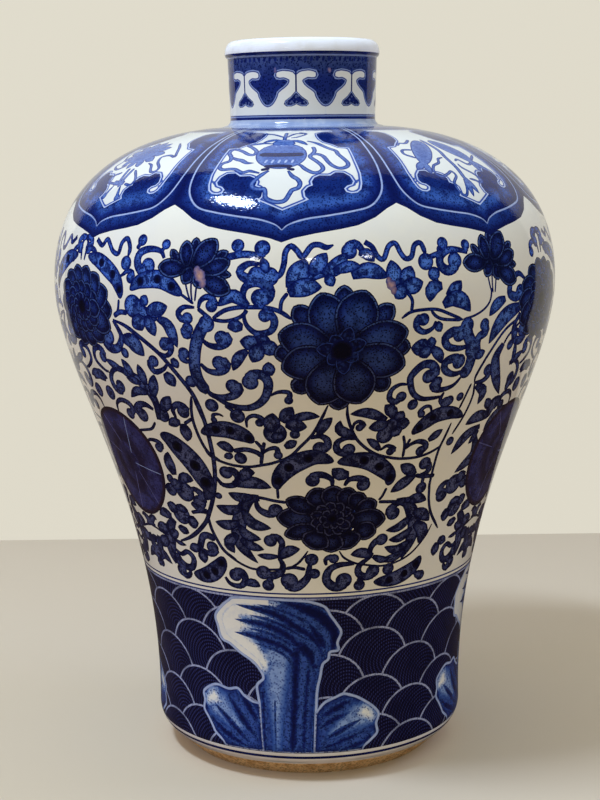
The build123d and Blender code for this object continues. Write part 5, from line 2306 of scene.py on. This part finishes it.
    def _finish(self, piece: bpy.types.Object) -> None:
        """Smooths the piece, lays the true normals on its skin and maps the rest of it.

        Args:
            piece: the closed piece.
        """
        mesh = piece.data
        bpy.ops.object.shade_smooth_by_angle(angle=math.radians(35))
        lay = np.zeros(3 * len(mesh.vertices))
        mesh.attributes["lay"].data.foreach_get("vector", lay)
        corner_vertex = np.zeros(len(mesh.loops), int)
        mesh.loops.foreach_get("vertex_index", corner_vertex)
        normals = lay.reshape(-1, 3)[corner_vertex]
        normals[3 * self.skin_faces:] = 0
        mesh.normals_split_custom_set(normals.tolist())
        mesh.attributes.remove(mesh.attributes["lay"])
        spots = np.zeros(3 * len(mesh.vertices))
        mesh.vertices.foreach_get("co", spots)
        spots = spots.reshape(-1, 3)
        number = mesh.materials.find(Finish.LINING.value)
        if number < 0:
            number = 0
        map_data = mesh.uv_layers["OFBake"].data
        for polygon in list(mesh.polygons)[self.skin_faces:]:
            polygon.material_index = number
            middle = math.atan2(polygon.center.x, -polygon.center.y)
            for loop in polygon.loop_indices:
                x, y, z = spots[corner_vertex[loop]]
                turn = math.atan2(x, -y)
                turn += 2 * math.pi * round((middle - turn) / (2 * math.pi))
                reach = (z - spots[:, 2].min()) / 0.12 * 0.5 + math.hypot(x, y) / 0.12 * 0.4
                across = turn / (2 * math.pi) + 0.5
                map_data[loop].uv = (0.02 + 0.96 * across, 0.76 + 0.22 * min(1.0, reach))


@dataclass
class Vase:
    """The whole vase: its form, its painting and the sections of its wall."""

    profile: WallProfile = field(default_factory=WallProfile)
    seams: tuple[float, ...] = (30.0, 92.0, 200.0, 268.0)
    bead: float = 1.6
    foot_lining: Outline = (
        (67.9, 30.0), (69.5, 28.4), (69.0, 26.2), (66.5, 21.5), (62.5, 18.1), (55.5, 16), (0, 16),
    )

    def paint(self) -> Canvas:
        """Paints the unrolled wall.

        Returns:
            The painted canvas.
        """
        canvas = Canvas(self.profile)
        for painter in (WaveBand, RockGroups, LotusScroll, CloudLappets, NeckPainting):
            painter(canvas).paint()
            log.info("painted %s, %d patches so far", painter.__name__, len(canvas.patches))
        return canvas

    def sections(self) -> list[WallSection]:
        """Lists the sections from the foot up.

        Returns:
            The six sections.
        """
        level = self.profile.at_height
        low, mid, belly, shoulder = self.seams
        top = self.profile.neck_seam
        return [
            WallSection(
                "foot_wall", 0, level(low), self.foot_lining, ("foot_base", "foot_lute"), "foot_porcelain",
                row_step=2.0, under=self.profile.recess(),
            ),
            WallSection(
                "skirt_wall", level(low), level(mid), self._lining(low, mid),
                ("skirt_section", "skirt_lute"),
            ),
            WallSection(
                "belly_wall", level(mid), level(belly), self._lining(mid, belly),
                ("belly_section", "belly_lute"),
            ),
            WallSection(
                "shoulder_wall", level(belly), level(shoulder), self._lining(belly, shoulder),
                ("shoulder_section", "shoulder_lute"),
            ),
            WallSection(
                "crown_wall", level(shoulder), level(top), self._lining(shoulder, top), ("crown_section",),
            ),
            WallSection(
                "neck_wall", level(top), float(self.profile.length[-1]), (), ("neck_collar", "neck_lute"),
                row_step=1.2, turn_step=3.0,
            ),
        ]

    def _lining(self, low: float, high: float) -> list[Point]:
        """Levels of the inside of a section, with half a slip bead at each seam.

        Args:
            low: height of the lower seam.
            high: height of the upper seam.

        Returns:
            Radius and height of each level.
        """
        heights = np.concatenate([
            low + self.bead * np.array([0, 0.4, 0.8, 1]),
            np.linspace(low + self.bead, high - self.bead, max(4, round((high - low) / 5)))[1:-1],
            high - self.bead * np.array([1, 0.8, 0.4, 0]),
        ])
        levels = []
        for height in heights:
            near = min(height - low, high - height if high in self.seams else self.bead)
            swell = math.sqrt(max(0.0, self.bead ** 2 - min(near, self.bead) ** 2))
            levels.append((self.profile.inner_radius(height) - swell, float(height)))
        return levels


# The studio

@dataclass(frozen=True)
class Surface:
    """One flat matt surface of the room, in metres.

    Its colour can differ to the camera, in the light it passes on (dim) and in the glaze's
    reflections (mirrored). The even share of it reaches the camera without shading.
    """

    name: str
    colour: str
    dim: str
    mirrored: str
    even: float
    width: float
    place: Triple = (0, 0, 0)
    turn: Triple = (0, 0, 0)


@dataclass(frozen=True)
class Lamp:
    """One soft lamp, in metres and watts. The glaze shows its reflection if it is mirrored."""

    name: str
    place: Triple
    target: Triple
    size: Point
    power: float
    colour: str
    mirrored: bool


@dataclass
class Studio:
    """The pale room, its soft lamps and the camera."""

    surfaces: tuple[Surface, ...] = (
        Surface("floor", "cfc0aa", "a88460", "3e2a1c", 0.0, 8),
        Surface("backdrop", "e2ddcd", "e2ddcd", "e2ddcd", 0.9, 1.2, (0.11, 0.385, 4), (math.pi / 2, 0, 0)),
    )
    surface_height: float = 8
    lamps: tuple[Lamp, ...] = (
        Lamp("window", (-0.57, -0.42, 1.53), (0, 0, 0.2), (0.38, 0.13), 17, "d1e5ff", True),
        Lamp("left", (-1.35, -0.5, 0.75), (0, 0, 0.2), (0.6, 0.6), 3.1, "a7b3ff", False),
        Lamp("right", (1.25, 0.1, 1.15), (0, 0, 0.2), (0.6, 0.6), 5.3, "aac2ff", False),
    )
    glint_turns: Triple = (-22, 2, 27)
    glint_reach: float = 1.4
    glint_height: float = 0.74
    camera_place: Triple = (-2.97, -768.88, 295.56)
    camera_pitch: float = 9.439
    camera_roll: float = -0.695
    lens: float = 71.38

    def build(self) -> None:
        """Makes the floor, the wall, the light and the camera."""
        for surface in self.surfaces:
            self._plain(surface)
        self._light()
        self._camera()
        bpy.context.scene.view_settings.view_transform = "Standard"

    def _plain(self, surface: Surface) -> None:
        """Makes one flat surface of the room, which a camera behind it sees through.

        Args:
            surface: the surface to make.
        """
        bpy.ops.object.select_all(action="DESELECT")
        bpy.ops.mesh.primitive_plane_add(
            size=self.surface_height, location=surface.place, rotation=surface.turn,
        )
        plane = bpy.context.object
        plane.scale.x = surface.width / self.surface_height
        plane.name = surface.name
        material = bpy.data.materials.new("matt_paint_" + surface.name)
        material.use_nodes = True
        tree = material.node_tree
        tree.nodes.clear()
        ray = add_node(tree, "ShaderNodeLightPath").outputs
        dull = blend(tree, ray["Is Glossy Ray"], linear(surface.dim), linear(surface.mirrored))
        seen = blend(tree, ray["Is Camera Ray"], dull, linear(surface.colour))
        shaded = add_node(
            tree, "ShaderNodeBsdfPrincipled", {"Base Color": seen, "Roughness": 0.75, "IOR": 1.45},
        )
        glow = add_node(tree, "ShaderNodeEmission", {"Color": linear(surface.colour)})
        share = calc(tree, "MULTIPLY", ray["Is Camera Ray"], surface.even)
        mixed = add_node(
            tree, "ShaderNodeMixShader", {0: share, 1: shaded.outputs["BSDF"], 2: glow.outputs[0]},
        )
        clear = add_node(tree, "ShaderNodeBsdfTransparent")
        side = add_node(tree, "ShaderNodeNewGeometry").outputs["Backfacing"]
        through = calc(tree, "MULTIPLY", ray["Is Camera Ray"], side)
        faced = add_node(
            tree, "ShaderNodeMixShader", {0: through, 1: mixed.outputs[0], 2: clear.outputs[0]},
        )
        add_node(tree, "ShaderNodeOutputMaterial", {"Surface": faced.outputs[0]})
        plane.data.materials.append(material)

    def _light(self) -> None:
        """Makes the soft lamps and the dim surroundings."""
        world = bpy.data.worlds.new("dim_room")
        world.use_nodes = True
        tree = world.node_tree
        tree.nodes.clear()
        ray = add_node(tree, "ShaderNodeLightPath").outputs["Is Glossy Ray"]
        level = fade(tree, ray, (0.0, 1.0), (0.66, 0.035), smooth=False)
        room = add_node(tree, "ShaderNodeBackground", {"Color": linear("ffffea"), "Strength": level})
        add_node(tree, "ShaderNodeOutputWorld", {"Surface": room.outputs[0]})
        bpy.context.scene.world = world
        for lamp in self.lamps:
            self._lamp(lamp)
        for number, turn in enumerate(self.glint_turns):
            away = (self.glint_reach * math.sin(turn * DEGREE), -self.glint_reach * math.cos(turn * DEGREE))
            place = (*away, self.glint_height)
            self._lamp(Lamp(f"glint_{number}", place, (0, 0, 0.24), (0.08, 0.025), 0.25, "ffffff", True))

    @staticmethod
    def _lamp(lamp: Lamp) -> None:
        """Hangs one soft lamp.

        Args:
            lamp: the lamp to hang.
        """
        bpy.ops.object.select_all(action="DESELECT")
        way = Vector(lamp.target) - Vector(lamp.place)
        facing = way.to_track_quat("-Z", "Y").to_euler()
        bpy.ops.object.light_add(type="AREA", location=lamp.place, rotation=facing)
        light = bpy.context.object
        light.name = lamp.name
        light.visible_glossy = lamp.mirrored
        light.data.color = linear(lamp.colour)[:3]
        light.data.shape = "RECTANGLE"
        light.data.size, light.data.size_y = lamp.size
        light.data.energy = lamp.power

    def _camera(self) -> None:
        """Sets the camera where the photograph was taken from."""
        place = Vector(self.camera_place) * MM
        pitch = Matrix.Rotation(math.radians(90 - self.camera_pitch), 4, "X")
        roll = Matrix.Rotation(math.radians(self.camera_roll), 4, "Z")
        bpy.ops.object.select_all(action="DESELECT")
        bpy.ops.object.camera_add(location=place, rotation=(pitch @ roll).to_euler())
        camera = bpy.context.object
        camera.data.lens = self.lens
        camera.data.sensor_width = 36
        camera.data.clip_start = 0.01
        bpy.context.scene.camera = camera


def main() -> None:
    """Paints the vase, builds its sections and lights them."""
    logging.basicConfig(level=logging.INFO, format="%(message)s")
    vase = Vase()
    shop = GlazeShop()
    canvas = vase.paint()
    for section in vase.sections():
        piece = section.build(canvas, shop)
        log.info("built %s with %d faces", piece.name, len(piece.data.polygons))
    Studio().build()


if __name__ == "__main__":
    main()
